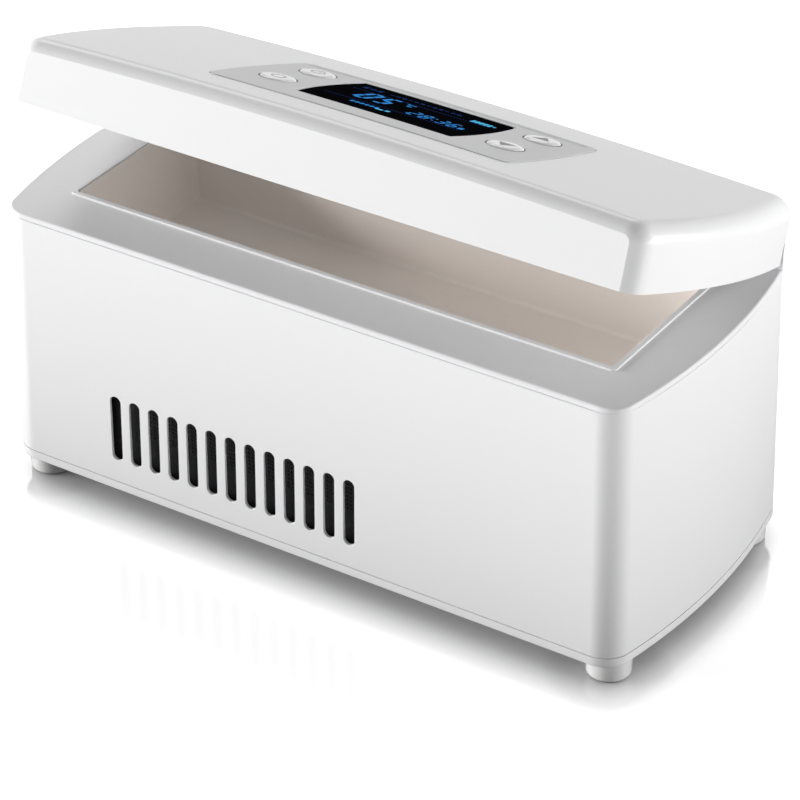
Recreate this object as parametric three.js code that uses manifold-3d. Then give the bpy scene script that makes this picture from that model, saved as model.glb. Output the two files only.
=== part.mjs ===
// Insulin cooling case: a thermoelectric cooler with a hinged lid, a display and four buttons.
// Millimetres, +X along the case, front at -Y, +Z up. The origin is on the surface that the feet stand on,
// under the middle of the box round the case at rest, with its lid part open.

import * as THREE from 'three';
import { mergeVertices } from 'three/addons/utils/BufferGeometryUtils.js';
import Module from 'manifold-3d';

const wasm = await Module();
wasm.setup();

// Case outline: straight front and back, ends bulged to an arc, rounded corners
const caseLength = 200;
const caseDepth = 88.6;
const endBulge = 5.2;
const caseCorner = 7;
const caseFlare = 1;          // the walls stand this much further out at the bottom, for draft

// Heights above the underside of the base
const baseBand = 2.8;         // the base's visible edge band
const shellTop = 76.1;        // upper parting line
const deckRise = 1.4;         // deck above the upper parting line
const seam = 0.3;             // open parting line between mouldings
const fitGap = 0.3;           // clearance between pieces that touch

// Outer shell
const shellWall = 2.2;
const postRadius = 3.6;       // screw posts moulded to the long walls
const postHeight = 16;
const postToScreen = 3.7;     // from the end of the vent screen
const postIntoWall = 0.3;     // at the foot of the wall, where it stands furthest out

// Vent slots
const slotCount = 13;
const slotPitch = 6.3;
const slotWidth = 3.4;
const slotBottom = 9.9;
const slotTop = 30.1;
const ventFromEnd = 77.8;     // middle of the row of slots from the left end

// Screens behind the slots
const screenMargin = 3;
const screenThick = 1.2;
const screenBar = 1;
const screenGap = 1.6;
const screenRibs = 2;

// Base cover
const basePlate = 2.5;
const baseEdge = 0.6;         // rounded lower edge
const baseLipHeight = 2.4;
const baseLipWall = 1.6;
const intakeSlots = 9;
const intakeWidth = 2.4;
const intakePitch = 5;
const intakeLength = 40;
const pegRadius = 1.7;
const pegHeight = 6;
const standoffRadius = 2.2;
const cradleWall = 2;
const cradleHeight = 9;

// Feet
const footHeight = 6.8;
const footTopRadius = 6.2;
const footLowRadius = 6;
const footEdge = 1;
const footFromEnd = 10;
const footFromFront = 8;
const footSpigotRadius = 2.5;
const footSpigotHeight = 2;

// Top bezel: deck, lip round the well, skirt inside the shell, hinge riser
const deckInset = 0.7;        // rounding of the deck's outer edge
const deckPlate = 2;
const skirtDepth = 4.8;
const skirtWall = 1.6;
const lipHeight = 0.6;
const lipWidth = 1.3;
const knuckleRadius = 3;
const axisRise = 4.5;         // hinge axis above the deck
const knuckleFromEnd = 42;
const knuckleWidth = 14;
const knuckleSideGap = 0.4;
const hingeGap = 0.5;         // running clearance round the riser

// Hinge pins
const pinRadius = 1.25;
const pinLength = 30;
const pinGap = 0.25;

// Storage well
const wellFromEnd = 16.7;
const wellFromFront = 17.2;
const wellFromBack = 17.8;
const wellHeight = 27.5;
const wellCorner = 3;
const mouthCorner = 0.8;
const linerWall = 1.5;
const linerFlange = 5;
const linerFlangeThick = 1.2;

// Insulation round the well
const foamUnderLiner = 7;

// Cooling stack below the well
const finCount = 15;
const finThick = 1.2;
const sinkLength = 76;
const sinkDepth = 64;
const sinkBase = 4;
const tecSide = 40;
const tecHeight = 3.6;
const tecCeramic = 0.8;
const tecPelletInset = 1.5;
const coldLength = 60;
const coldDepth = 44;
const coldHeight = 7.8;

// Fan
const fanSide = 60;
const fanHeight = 10;
const fanCorner = 4;
const fanDuctWall = 2;
const fanHoleRadius = 2.1;
const fanHoleInset = 5;
const fanHubRadius = 11;
const fanHubPlate = 1.4;
const fanStrutWidth = 3;
const fanStruts = 4;
const bladeCount = 7;
const bladeThick = 1;
const bladeTipGap = 0.8;
const bladePitchDeg = 38;
const bladeSweepDeg = 24;
const bladeRootChord = 9;
const bladeTipChord = 15;
const shaftRadius = 1.5;
const shaftGap = 0.2;
const hubTopWall = 1.4;

// Battery
const cellRadius = 9.2;
const cellLength = 65;
const cellCount = 3;
const batteryFromEnd = 44;    // middle of the pack from the right end
const packWebHeight = 12;

// Main board
const boardThick = 1.6;
const boardLength = 66;
const boardCorner = 2;
const boardOverCells = 3.1;   // its underside above the cells
const boardHoleInset = 3.6;
const boardToPack = 0.6;      // from the standoffs to the pack between them
const capacitorRadius = 4;
const capacitorHeight = 9;
const coilSide = 12;
const coilHeight = 6;
const chipSide = 7;
const chipHeight = 1;

// DC jack in the rear wall
const jackOffset = 6;         // from the middle of the board
const jackWidth = 9;
const jackBodyDepth = 12;
const jackHeight = 11;
const jackNoseRadius = 4;
const jackNoseReach = 1.6;
const jackBoreRadius = 3.15;
const jackBoreDepth = 9;
const jackPinRadius = 1;

// Lid, measured upwards from its rim and closed
const lidRimGap = 0.8;        // rim above the deck when shut
const lidHeight = 19;
const lidCrown = 2.1;         // the top falls this much from its middle to each end
const lidInset = 0.1;
const lidDraft = 0.4;
const lidEdgeRadius = 5;
const lidWall = 2.2;
const lidOpenDeg = 20.7;       // how far the lid stands open in the rest pose
const troughWall = 1.6;
const lidBossRadius = 3.2;
const lidBossFromSide = 24.3;
const lidLinerThick = 1.8;
const lidLinerRise = 1.2;     // liner underside above the rim
const plugDepth = 2.5;
const plugInset = 3;
const plugCorner = 4;
const sealWidth = 2.4;
const sealGap = 0.6;          // seal to the lip beside it
const sealBelowRim = 0.2;
const sealToScrew = 0.7;      // from the seal's end to a screw's head
const foamEdgeGap = 2;

// Control panel, display and buttons
const panelLength = 95;
const panelFromFront = 17.3;
const panelFrontBar = 9.1;    // panel in front of the glass
const panelRearBar = 6;
const panelBulge = 1.6;
const panelCorner = 3;
const panelSink = 0.15;       // panel face below the lid's face
const panelEdgeGap = 0.2;
const glassLength = 50;
const glassDepth = 34.6;
const glassBulge = 1.6;
const glassCorner = 0.6;
const glassThick = 1;
const glassSeat = 0.15;       // glass above the floor of the panel's recess
const glassLedge = 2.2;       // lid skin kept under the glass's edge
const buttonRadius = 5;
const buttonFromGlass = 5;
const buttonFrontY = 35.4;
const buttonPitchY = 19.8;
const buttonProud = 0.5;
const buttonEdge = 0.5;
const buttonSideGap = 0.25;
const buttonFlange = 0.8;
const buttonFlangeThick = 0.7;
const buttonStemRadius = 1.6;
const buttonStem = 2;
const buttonToSwitch = 0.8;   // travel and a little over
const switchSide = 6;
const switchBody = 3.4;
const switchPlunger = 0.6;
const lidBoardLength = 92;
const lidBoardDepth = 44;
const moduleEndGap = 1.8;     // to the lid's window
const moduleSideGap = 1.1;

// Screws
const screwRadius = 1.4;
const screwHeadRadius = 2.7;
const screwHeadHeight = 1.6;
const screwLength = 9;
const screwGap = 0.3;
const lidScrewLength = 6;

// How finely curves are cut
const overrun = 1;            // how far a cutting solid passes the face it cuts
const weld = 0.0001;
const crownSteps = 4;
const cornerSteps = 4;
const smallCornerSteps = 2;
const smallCorner = 2;        // corners up to this radius take the fewer steps
const endSteps = 4;
const edgeSteps = 4;
const slotSteps = 2;
const roundSides = 18;
const smallSides = 8;

// Places worked out from the sizes
const halfLength = caseLength / 2;
const halfDepth = caseDepth / 2;
const ventCentreX = ventFromEnd - halfLength;
const footX = halfLength - footFromEnd;
const knuckleX = halfLength - knuckleFromEnd;
const batteryCentreX = halfLength - batteryFromEnd;
const jackX = batteryCentreX - jackOffset;
const lidBossY = halfDepth - lidBossFromSide;
const deckTop = shellTop + seam + deckRise;
const wellLength = caseLength - 2 * wellFromEnd;
const wellDepthY = caseDepth - wellFromFront - wellFromBack;
const lidBossX = wellLength / 2 + lipWidth + sealGap + sealWidth + sealToScrew + screwHeadRadius;
const deckUnder = deckTop - deckPlate;
const wellY = (wellFromFront - wellFromBack) / 2;
const axisY = halfDepth - knuckleRadius;
const axisZ = deckTop + axisRise;
const riserClear = knuckleRadius + hingeGap;
const linerTop = deckUnder - fitGap;
const wellFloor = deckTop + lipHeight - wellHeight;
const linerUnder = wellFloor - linerWall;
const foamBottom = linerUnder - fitGap - foamUnderLiner;
const fanDuctRadius = fanSide / 2 - fanDuctWall;
const fanHolePitch = fanSide - 2 * fanHoleInset;
const fanBottom = basePlate + fitGap;
const fanTop = fanBottom + fanHeight;
const finBottom = fanTop + fitGap;
const coldTop = linerUnder - fitGap;
const coldBottom = coldTop - coldHeight;
const tecBottom = coldBottom - fitGap - tecHeight;
const sinkTop = tecBottom - fitGap;
const sinkUnder = sinkTop - sinkBase;
const slotHeight = slotTop - slotBottom;
const slotMiddle = (slotTop + slotBottom) / 2;
const ventLength = slotPitch * (slotCount - 1) + slotWidth;
const screenLength = ventLength + 2 * screenMargin;
const screenHeight = slotHeight + 2 * screenMargin;
const postX = screenLength / 2 + Math.abs(ventCentreX) + postToScreen + postRadius;
const postY = halfDepth + caseFlare - shellWall + postIntoWall - postRadius;
const footY = halfDepth - footFromFront;
const packDepth = 2 * cellRadius * cellCount;
const cellMiddle = basePlate + fitGap + cellRadius;
const boardUnderside = cellMiddle + cellRadius + boardOverCells;
const boardDepth = packDepth + 2 * (boardToPack + standoffRadius + boardHoleInset);
const boardTop = boardUnderside + boardThick;
const jackBottom = boardTop + fitGap;
const jackMiddle = jackBottom + jackHeight / 2;
const lidRimZ = deckTop + lidRimGap;
const lidAxisY = axisY;
const lidAxisZ = axisZ - lidRimZ;
const panelDepth = panelFrontBar + glassDepth + panelRearBar;
const panelY = -halfDepth + panelFromFront + panelDepth / 2;
const glassY = -halfDepth + panelFromFront + panelFrontBar + glassDepth / 2;
const moduleLength = glassLength - 2 * (glassLedge + moduleEndGap);
const moduleDepth = glassDepth - 2 * (glassLedge + moduleSideGap);
const buttonX = glassLength / 2 + buttonFromGlass + buttonRadius;
const buttonRows = [buttonFrontY - halfDepth, buttonFrontY + buttonPitchY - halfDepth];
const panelRecess = panelSink + glassThick + glassSeat;
const panelThick = panelRecess - panelSink - fitGap;
const buttonFace = lidHeight - crownFall(buttonX) - panelSink;
const flangeTop = buttonFace - panelThick - fitGap;
const flangeBottom = flangeTop - buttonFlangeThick;
const switchTop = flangeBottom - buttonStem - buttonToSwitch;
const switchBottom = switchTop - switchPlunger - switchBody;
const lidBoardTop = switchBottom - fitGap;
const lidBoardUnder = lidBoardTop - boardThick;
const lidFoamTop = lidBoardUnder - fitGap;
const foamRise = lidLinerRise + lidLinerThick + fitGap;

// How much lower the lid's top is at a place along it
function crownFall(x) {
  return lidCrown * (2 * x / caseLength) ** 2;
}

// Materials
const white = new THREE.MeshStandardMaterial({ color: 0xf2f2f2, roughness: 0.28 });
const whiteMatte = new THREE.MeshStandardMaterial({ color: 0xe9e9e8, roughness: 0.6 });
const cream = new THREE.MeshStandardMaterial({ color: 0xe6dad2, roughness: 0.5 });
const silver = new THREE.MeshStandardMaterial({ color: 0xc9c9cb, roughness: 0.35, metalness: 0.4 });
const buttonWhite = new THREE.MeshStandardMaterial({ color: 0xebebeb, roughness: 0.3 });
const black = new THREE.MeshStandardMaterial({ color: 0x17181a, roughness: 0.6 });
const glassBlack = new THREE.MeshStandardMaterial({ color: 0x050608, roughness: 0.05 });
const aluminium = new THREE.MeshStandardMaterial({ color: 0xb9bcc0, roughness: 0.4, metalness: 0.9 });
const steel = new THREE.MeshStandardMaterial({ color: 0xa9abae, roughness: 0.3, metalness: 1 });
const ceramic = new THREE.MeshStandardMaterial({ color: 0xf4f1ea, roughness: 0.7 });
const foam = new THREE.MeshStandardMaterial({ color: 0xdfe4e8, roughness: 0.95 });
const boardGreen = new THREE.MeshStandardMaterial({ color: 0x1d5b34, roughness: 0.5 });
const cellWrap = new THREE.MeshStandardMaterial({ color: 0x2c4f8a, roughness: 0.4 });
const sealGrey = new THREE.MeshStandardMaterial({ color: 0xd5d5d3, roughness: 0.8 });

// Solids from three.js geometry, joined and cut by manifold-3d
function toSolid(geometry) {
  const plain = geometry.clone();
  plain.deleteAttribute('normal');
  plain.deleteAttribute('uv');
  const merged = mergeVertices(plain, weld);
  return new wasm.Manifold(new wasm.Mesh({
    numProp: 3,
    vertProperties: new Float32Array(merged.attributes.position.array),
    triVerts: new Uint32Array(merged.index.array),
  }));
}

function toGeometry(solid) {
  const mesh = solid.getMesh();
  const geometry = new THREE.BufferGeometry();
  geometry.setAttribute('position', new THREE.Float32BufferAttribute(mesh.vertProperties, 3));
  geometry.setIndex(new THREE.BufferAttribute(mesh.triVerts, 1));
  geometry.computeVertexNormals();
  return geometry;
}

const join = (solids) => solids.reduce((whole, piece) => whole.add(piece));

function block(x0, x1, y0, y1, z0, z1) {
  const geometry = new THREE.BoxGeometry(x1 - x0, y1 - y0, z1 - z0);
  geometry.translate((x0 + x1) / 2, (y0 + y1) / 2, (z0 + z1) / 2);
  return toSolid(geometry);
}

const blockAt = (x, y, length, depth, z0, z1) => block(
  x - length / 2, x + length / 2, y - depth / 2, y + depth / 2, z0, z1);

// An upright cylinder, or a cone when two radii are given
function post(x, y, z0, z1, radius, sides = roundSides, topRadius = radius) {
  const geometry = new THREE.CylinderGeometry(topRadius, radius, z1 - z0, sides);
  geometry.rotateX(Math.PI / 2);
  geometry.translate(x, y, (z0 + z1) / 2);
  return toSolid(geometry);
}

function rodX(x0, x1, y, z, radius, sides = roundSides) {
  const geometry = new THREE.CylinderGeometry(radius, radius, x1 - x0, sides);
  geometry.rotateZ(-Math.PI / 2);
  geometry.translate((x0 + x1) / 2, y, z);
  return toSolid(geometry);
}

function rodY(x, y0, y1, z, radius, sides = roundSides) {
  const geometry = new THREE.CylinderGeometry(radius, radius, y1 - y0, sides);
  geometry.translate(x, (y0 + y1) / 2, z);
  return toSolid(geometry);
}

// A rectangle with round corners, centred on a place
function roundedRectangle(x, y, length, depth, corner) {
  const right = length / 2;
  const back = depth / 2;
  const shape = new THREE.Shape();
  shape.moveTo(x - right + corner, y - back);
  shape.lineTo(x + right - corner, y - back);
  shape.absarc(x + right - corner, y - back + corner, corner, -Math.PI / 2, 0);
  shape.lineTo(x + right, y + back - corner);
  shape.absarc(x + right - corner, y + back - corner, corner, 0, Math.PI / 2);
  shape.lineTo(x - right + corner, y + back);
  shape.absarc(x - right + corner, y + back - corner, corner, Math.PI / 2, Math.PI);
  shape.lineTo(x - right, y - back + corner);
  shape.absarc(x - right + corner, y - back + corner, corner, Math.PI, Math.PI * 1.5);
  return shape;
}

function prism(shape, z0, z1, curveSegments = cornerSteps) {
  const geometry = new THREE.ExtrudeGeometry(shape, { depth: z1 - z0, bevelEnabled: false, curveSegments });
  geometry.translate(0, 0, z0);
  return toSolid(geometry);
}

// A shape drawn in x and z, run along y
function prismY(shape, y0, y1, curveSegments = cornerSteps) {
  const geometry = new THREE.ExtrudeGeometry(shape, { depth: y1 - y0, bevelEnabled: false, curveSegments });
  geometry.rotateX(Math.PI / 2);
  geometry.translate(0, y1, 0);
  return toSolid(geometry);
}

// A slot with round ends, longest in its second direction
function stadium(x, y, width, length) {
  const radius = width / 2;
  const middle = length / 2 - radius;
  const shape = new THREE.Shape();
  shape.absarc(x, y + middle, radius, 0, Math.PI);
  shape.absarc(x, y - middle, radius, Math.PI, 2 * Math.PI);
  return shape;
}

// One turn round a plan outline with straight sides, arc ends and round corners. Every inset gives as many
// points in the same order: left tip, front, right tip, back, so that outlines can be lofted and capped.
function bulgedOutline({ length, depth, bulge, corner, y = 0 }, inset = 0, sideSteps = 1) {
  const side = depth / 2 - inset;
  const endRadius = (depth * depth / 4 + bulge * bulge) / (2 * bulge);
  const endCentre = length / 2 - endRadius;
  const round = Math.max(corner - inset, corner / 8);
  const centreY = side - round;
  const centreX = endCentre + Math.sqrt((endRadius - inset - round) ** 2 - centreY ** 2);
  const meet = Math.atan2(-centreY, centreX - endCentre);
  const turns = corner > smallCorner ? cornerSteps : smallCornerSteps;
  const quarter = [];
  for (let i = 0; i < sideSteps; i += 1) {
    quarter.push([centreX * i / sideSteps, -side]);
  }
  for (let i = 0; i < turns; i += 1) {
    const turn = -Math.PI / 2 + (meet + Math.PI / 2) * i / turns;
    quarter.push([centreX + round * Math.cos(turn), -centreY + round * Math.sin(turn)]);
  }
  for (let i = 0; i <= endSteps; i += 1) {
    const turn = meet * (1 - i / endSteps);
    quarter.push([endCentre + (endRadius - inset) * Math.cos(turn), (endRadius - inset) * Math.sin(turn)]);
  }
  const front = [...quarter.slice(1).reverse().map(([px, py]) => [-px, py]), ...quarter];
  const back = front.slice(1, -1).reverse().map(([px, py]) => [px, -py]);
  return [...front, ...back].map(([px, py]) => new THREE.Vector2(px, py + y));
}

// A closed solid through a pile of outlines. Each level has an inset and a height, and may sink with the crown.
function loft(plan, levels) {
  const sideSteps = levels.some(({ crowned }) => crowned) ? crownSteps : 1;
  const rings = levels.map(({ inset = 0, z, crowned = false }) => (
    bulgedOutline(plan, inset, sideSteps).map(({ x, y }) => [x, y, crowned ? z - crownFall(x) : z])));
  const count = rings[0].length;
  const half = count / 2;
  const at = (ring, i) => ring * count + (i % count);
  const faces = [];
  for (let ring = 0; ring + 1 < rings.length; ring += 1) {
    for (let i = 0; i < count; i += 1) {
      faces.push(at(ring, i), at(ring, i + 1), at(ring + 1, i + 1));
      faces.push(at(ring, i), at(ring + 1, i + 1), at(ring + 1, i));
    }
  }
  const last = rings.length - 1;
  for (let i = 0; i < half; i += 1) {
    const across = [i, i + 1, count - i - 1, count - i];
    if (i + 1 < half) {
      faces.push(at(last, across[0]), at(last, across[1]), at(last, across[2]));
      faces.push(at(0, across[0]), at(0, across[2]), at(0, across[1]));
    }
    if (i > 0) {
      faces.push(at(last, across[0]), at(last, across[2]), at(last, across[3]));
      faces.push(at(0, across[0]), at(0, across[3]), at(0, across[2]));
    }
  }
  const geometry = new THREE.BufferGeometry();
  geometry.setAttribute('position', new THREE.Float32BufferAttribute(rings.flat(2), 3));
  geometry.setIndex(faces);
  return toSolid(geometry);
}

const casePlan = { length: caseLength, depth: caseDepth, bulge: endBulge, corner: caseCorner };
const flareAt = (z) => -caseFlare * (1 - z / shellTop);

// A slab of the case's plan between two heights, its sides on the sloping wall and set in by a wall's thickness
const caseSlab = (inset, z0, z1) => loft(casePlan, [
  { inset: inset + flareAt(z0), z: z0 },
  { inset: inset + flareAt(z1), z: z1 },
]);

const pieces = new THREE.Group();
const lidPieces = new THREE.Group();

function add(name, solid, material, group = pieces) {
  const mesh = new THREE.Mesh(toGeometry(solid), material);
  mesh.name = name;
  group.add(mesh);
  return mesh;
}

const corners = (x, y) => [[-x, -y], [x, -y], [x, y], [-x, y]];

// Outer shell: four walls open at the top and the bottom, with the slots, the jack's hole and the screw posts
function outerShell() {
  const bottom = baseBand + seam / 2;
  const walls = caseSlab(0, bottom, shellTop)
    .subtract(caseSlab(shellWall, bottom - overrun, shellTop + overrun));
  const posts = corners(postX, postY).map(([x, y]) => post(x, y, bottom, postHeight, postRadius, smallSides));
  const pilots = corners(postX, postY).map(([x, y]) => (
    post(x, y, bottom - overrun, bottom + screwLength, screwRadius + screwGap, smallSides)));
  const slots = [];
  for (let i = 0; i < slotCount; i += 1) {
    const x = ventCentreX + slotPitch * (i - (slotCount - 1) / 2);
    slots.push(prismY(stadium(x, slotMiddle, slotWidth, slotHeight), -caseDepth, caseDepth, slotSteps));
  }
  const jackHole = rodY(jackX, 0, caseDepth, jackMiddle, jackNoseRadius + fitGap);
  return join([walls, ...posts]).subtract(join([...slots, jackHole, ...pilots]));
}

// A framed grille of fine level bars that keeps dust out behind one row of slots
function ventScreen(y) {
  const pitch = screenBar + screenGap;
  const rows = Math.floor((screenHeight - 2 * screenMargin) / pitch);
  const bay = (screenLength - 2 * screenMargin) / (screenRibs + 1);
  const gaps = [];
  for (let row = 0; row < rows; row += 1) {
    const z = slotMiddle + pitch * (row - (rows - 1) / 2);
    for (let rib = 0; rib <= screenRibs; rib += 1) {
      const x = ventCentreX + bay * (rib - screenRibs / 2);
      gaps.push(block(x - bay / 2 + screenBar / 2, x + bay / 2 - screenBar / 2,
        y - overrun - screenThick, y + overrun + screenThick, z - screenGap / 2, z + screenGap / 2));
    }
  }
  const plate = block(ventCentreX - screenLength / 2, ventCentreX + screenLength / 2,
    y - screenThick / 2, y + screenThick / 2, slotMiddle - screenHeight / 2, slotMiddle + screenHeight / 2);
  return plate.subtract(join(gaps));
}

// Base cover: edge band, plate, locating lip, air intake, fan pegs, board standoffs and battery cradle
function baseCover() {
  const band = loft(casePlan, [
    { inset: flareAt(0) + baseEdge, z: 0 },
    { inset: flareAt(0) + baseEdge * (1 - Math.SQRT1_2), z: baseEdge * (1 - Math.SQRT1_2) },
    { inset: flareAt(0), z: baseEdge },
    { inset: flareAt(baseBand), z: baseBand - seam / 2 },
  ]);
  const inside = shellWall + fitGap;
  const lip = caseSlab(inside, basePlate / 2, baseBand + baseLipHeight);
  const hollow = caseSlab(inside + baseLipWall, basePlate, baseBand + baseLipHeight + overrun);
  const lowered = caseSlab(inside + baseLipWall, basePlate, baseBand + overrun);
  const slots = [];
  for (let i = 0; i < intakeSlots; i += 1) {
    const x = ventCentreX + intakePitch * (i - (intakeSlots - 1) / 2);
    slots.push(prism(stadium(x, 0, intakeWidth, intakeLength), -overrun, basePlate + overrun, slotSteps));
  }
  const pegs = corners(fanHolePitch / 2, fanHolePitch / 2).map(([x, y]) => (
    post(x + ventCentreX, y, 0, basePlate + pegHeight, pegRadius, smallSides)));
  const standoffs = boardHoles().map(([x, y]) => (
    post(x, y, 0, boardUnderside - fitGap, standoffRadius, smallSides)));
  const cradles = [-1, 1].map((end) => {
    const face = batteryCentreX + end * (cellLength / 2 + fitGap);
    const outer = face + end * cradleWall;
    return block(Math.min(face, outer), Math.max(face, outer), -packDepth / 3, packDepth / 3,
      0, basePlate + cradleHeight);
  });
  const postRooms = corners(postX, postY).map(([x, y]) => (
    post(x, y, basePlate, baseBand + baseLipHeight + overrun, postRadius + fitGap, smallSides)));
  const screwHoles = corners(postX, postY).map(([x, y]) => join([
    post(x, y, -overrun, basePlate + overrun, screwRadius + screwGap, smallSides),
    post(x, y, -overrun, screwHeadHeight, screwHeadRadius + screwGap, smallSides),
  ]));
  const spigotHoles = corners(footX, footY).map(([x, y]) => (
    post(x, y, -overrun, footSpigotHeight + fitGap, footSpigotRadius + fitGap, smallSides)));
  const plate = band.subtract(lowered).add(lip.subtract(hollow));
  return join([plate, ...pegs, ...standoffs, ...cradles])
    .subtract(join([...slots, ...postRooms, ...screwHoles, ...spigotHoles]));
}

function boardHoles() {
  return corners(boardLength / 2 - boardHoleInset, boardDepth / 2 - boardHoleInset)
    .map(([x, y]) => [x + batteryCentreX, y]);
}

// A foot: a short cone with a rounded tread and a spigot that presses into the base
function foot(x, y) {
  const profile = [
    new THREE.Vector2(0, -footHeight),
    new THREE.Vector2(footLowRadius - footEdge, -footHeight),
    new THREE.Vector2(footLowRadius - footEdge * (1 - Math.SQRT1_2), -footHeight + footEdge * (1 - Math.SQRT1_2)),
    new THREE.Vector2(footLowRadius, -footHeight + footEdge),
    new THREE.Vector2(footTopRadius, -fitGap),
    new THREE.Vector2(footSpigotRadius, -fitGap),
    new THREE.Vector2(footSpigotRadius, footSpigotHeight),
    new THREE.Vector2(0, footSpigotHeight),
  ];
  const geometry = new THREE.LatheGeometry(profile, roundSides);
  geometry.rotateX(Math.PI / 2);
  geometry.translate(x, y, 0);
  return toSolid(geometry);
}

// A screw seen from its head: pan head below, shank upwards
function screw(x, y, z, length) {
  return post(x, y, z, z + screwHeadHeight - fitGap, screwHeadRadius, smallSides)
    .add(post(x, y, z, z + length, screwRadius, smallSides));
}

// The riser is a wall with a round top along the back of the deck. The hinge axis runs through its round.
function riser() {
  const reach = caseLength / 2 + overrun;
  const bottom = shellTop + seam;
  const web = block(-reach, reach, axisY - knuckleRadius, axisY + knuckleRadius, bottom, axisZ);
  const round = rodX(-reach, reach, axisY, axisZ, knuckleRadius);
  const notches = [-1, 1].map((side) => {
    const half = knuckleWidth / 2 + knuckleSideGap;
    return block(side * knuckleX - half, side * knuckleX + half,
      axisY - knuckleRadius - overrun, halfDepth + overrun, deckTop, axisZ + knuckleRadius + overrun);
  });
  const bores = [-1, 1].map((side) => rodX(side * knuckleX - pinLength / 2 - fitGap,
    side * knuckleX + pinLength / 2 + fitGap, axisY, axisZ, pinRadius + pinGap, smallSides));
  const plan = loft(casePlan, [
    { inset: 0, z: bottom },
    { inset: 0, z: axisZ + knuckleRadius + overrun },
  ]);
  return web.add(round).intersect(plan).subtract(join([...notches, ...bores]));
}

// Top bezel: the deck with its rounded edge, the lip round the well's mouth, the skirt and the riser
function topBezel() {
  const bottom = shellTop + seam;
  const edge = deckTop - bottom;
  const deck = loft(casePlan, [
    { inset: 0, z: bottom },
    { inset: 0, z: bottom + edge / 3 },
    { inset: deckInset * (1 - Math.SQRT1_2), z: deckTop - deckInset * (1 - Math.SQRT1_2) },
    { inset: deckInset, z: deckTop },
  ]);
  const inside = shellWall + fitGap;
  const skirt = loft(casePlan, [
    { inset: inside, z: deckUnder - skirtDepth },
    { inset: inside, z: deckTop - deckInset },
  ]);
  const hollow = loft(casePlan, [
    { inset: inside + skirtWall, z: deckUnder - skirtDepth - overrun },
    { inset: inside + skirtWall, z: deckUnder },
  ]);
  const lip = prism(roundedRectangle(0, wellY, wellLength + 2 * lipWidth, wellDepthY + 2 * lipWidth,
    mouthCorner + lipWidth), deckTop - deckPlate, deckTop + lipHeight);
  const mouth = prism(roundedRectangle(0, wellY, wellLength, wellDepthY, mouthCorner),
    deckUnder - overrun, deckTop + lipHeight + overrun);
  return join([deck, skirt]).subtract(hollow).add(join([lip, riser()])).subtract(mouth);
}

// Storage liner: a thin tub with a flange that hangs below the deck
function storageLiner() {
  const tub = prism(roundedRectangle(0, wellY, wellLength + 2 * linerWall, wellDepthY + 2 * linerWall,
    wellCorner + linerWall), linerUnder, linerTop);
  const flange = prism(roundedRectangle(0, wellY, wellLength + 2 * linerFlange, wellDepthY + 2 * linerFlange,
    wellCorner + linerFlange), linerTop - linerFlangeThick, linerTop);
  const well = prism(roundedRectangle(0, wellY, wellLength, wellDepthY, wellCorner),
    wellFloor, linerTop + overrun);
  return tub.add(flange).subtract(well);
}

function insulationTray() {
  const top = linerTop - linerFlangeThick - fitGap;
  const inset = shellWall + skirtWall + 2 * fitGap;
  const body = caseSlab(inset, foamBottom, top);
  const room = prism(roundedRectangle(0, wellY, wellLength + 2 * (linerWall + fitGap),
    wellDepthY + 2 * (linerWall + fitGap), wellCorner + linerWall + fitGap), linerUnder - fitGap, top + overrun);
  const coldRoom = blockAt(ventCentreX, wellY, coldLength + 2 * fitGap, coldDepth + 2 * fitGap,
    foamBottom - overrun, linerUnder);
  return body.subtract(room).subtract(coldRoom);
}

const coldBlock = () => blockAt(ventCentreX, wellY, coldLength, coldDepth, coldBottom, coldTop);

function tecModule() {
  const top = tecBottom + tecHeight;
  const pellets = tecSide - 2 * tecPelletInset;
  return join([
    blockAt(ventCentreX, wellY, tecSide, tecSide, tecBottom, tecBottom + tecCeramic),
    blockAt(ventCentreX, wellY, pellets, pellets, tecBottom, top),
    blockAt(ventCentreX, wellY, tecSide, tecSide, top - tecCeramic, top),
  ]);
}

// Heat sink: fins run from front to back, so the fan's air leaves through both rows of slots
function heatSink() {
  const fins = [];
  const pitch = (sinkLength - finThick) / (finCount - 1);
  for (let i = 0; i < finCount; i += 1) {
    const x = ventCentreX - sinkLength / 2 + finThick / 2 + pitch * i;
    fins.push(blockAt(x, 0, finThick, sinkDepth, finBottom, sinkUnder + overrun));
  }
  return join([blockAt(ventCentreX, 0, sinkLength, sinkDepth, sinkUnder, sinkTop), ...fins]);
}

function fanFrame() {
  const body = prism(roundedRectangle(ventCentreX, 0, fanSide, fanSide, fanCorner), fanBottom, fanTop);
  const duct = post(ventCentreX, 0, fanBottom - overrun, fanTop + overrun, fanDuctRadius, 2 * roundSides);
  const holes = corners(fanHolePitch / 2, fanHolePitch / 2).map(([x, y]) => (
    post(x + ventCentreX, y, fanBottom - overrun, fanTop + overrun, fanHoleRadius, smallSides)));
  const struts = [];
  for (let i = 0; i < fanStruts / 2; i += 1) {
    const strut = blockAt(0, 0, 2 * fanDuctRadius + overrun, fanStrutWidth, 0, fanHubPlate);
    const turn = 45 + i * 360 / fanStruts;
    struts.push(strut.rotate([0, 0, turn]).translate([ventCentreX, 0, fanBottom]));
  }
  const hub = post(ventCentreX, 0, fanBottom, fanBottom + fanHubPlate, fanHubRadius);
  const shaft = post(ventCentreX, 0, fanBottom, fanTop - hubTopWall - 2 * fitGap, shaftRadius, smallSides);
  return join([body.subtract(join([duct, ...holes])), hub, shaft, ...struts]);
}

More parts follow.
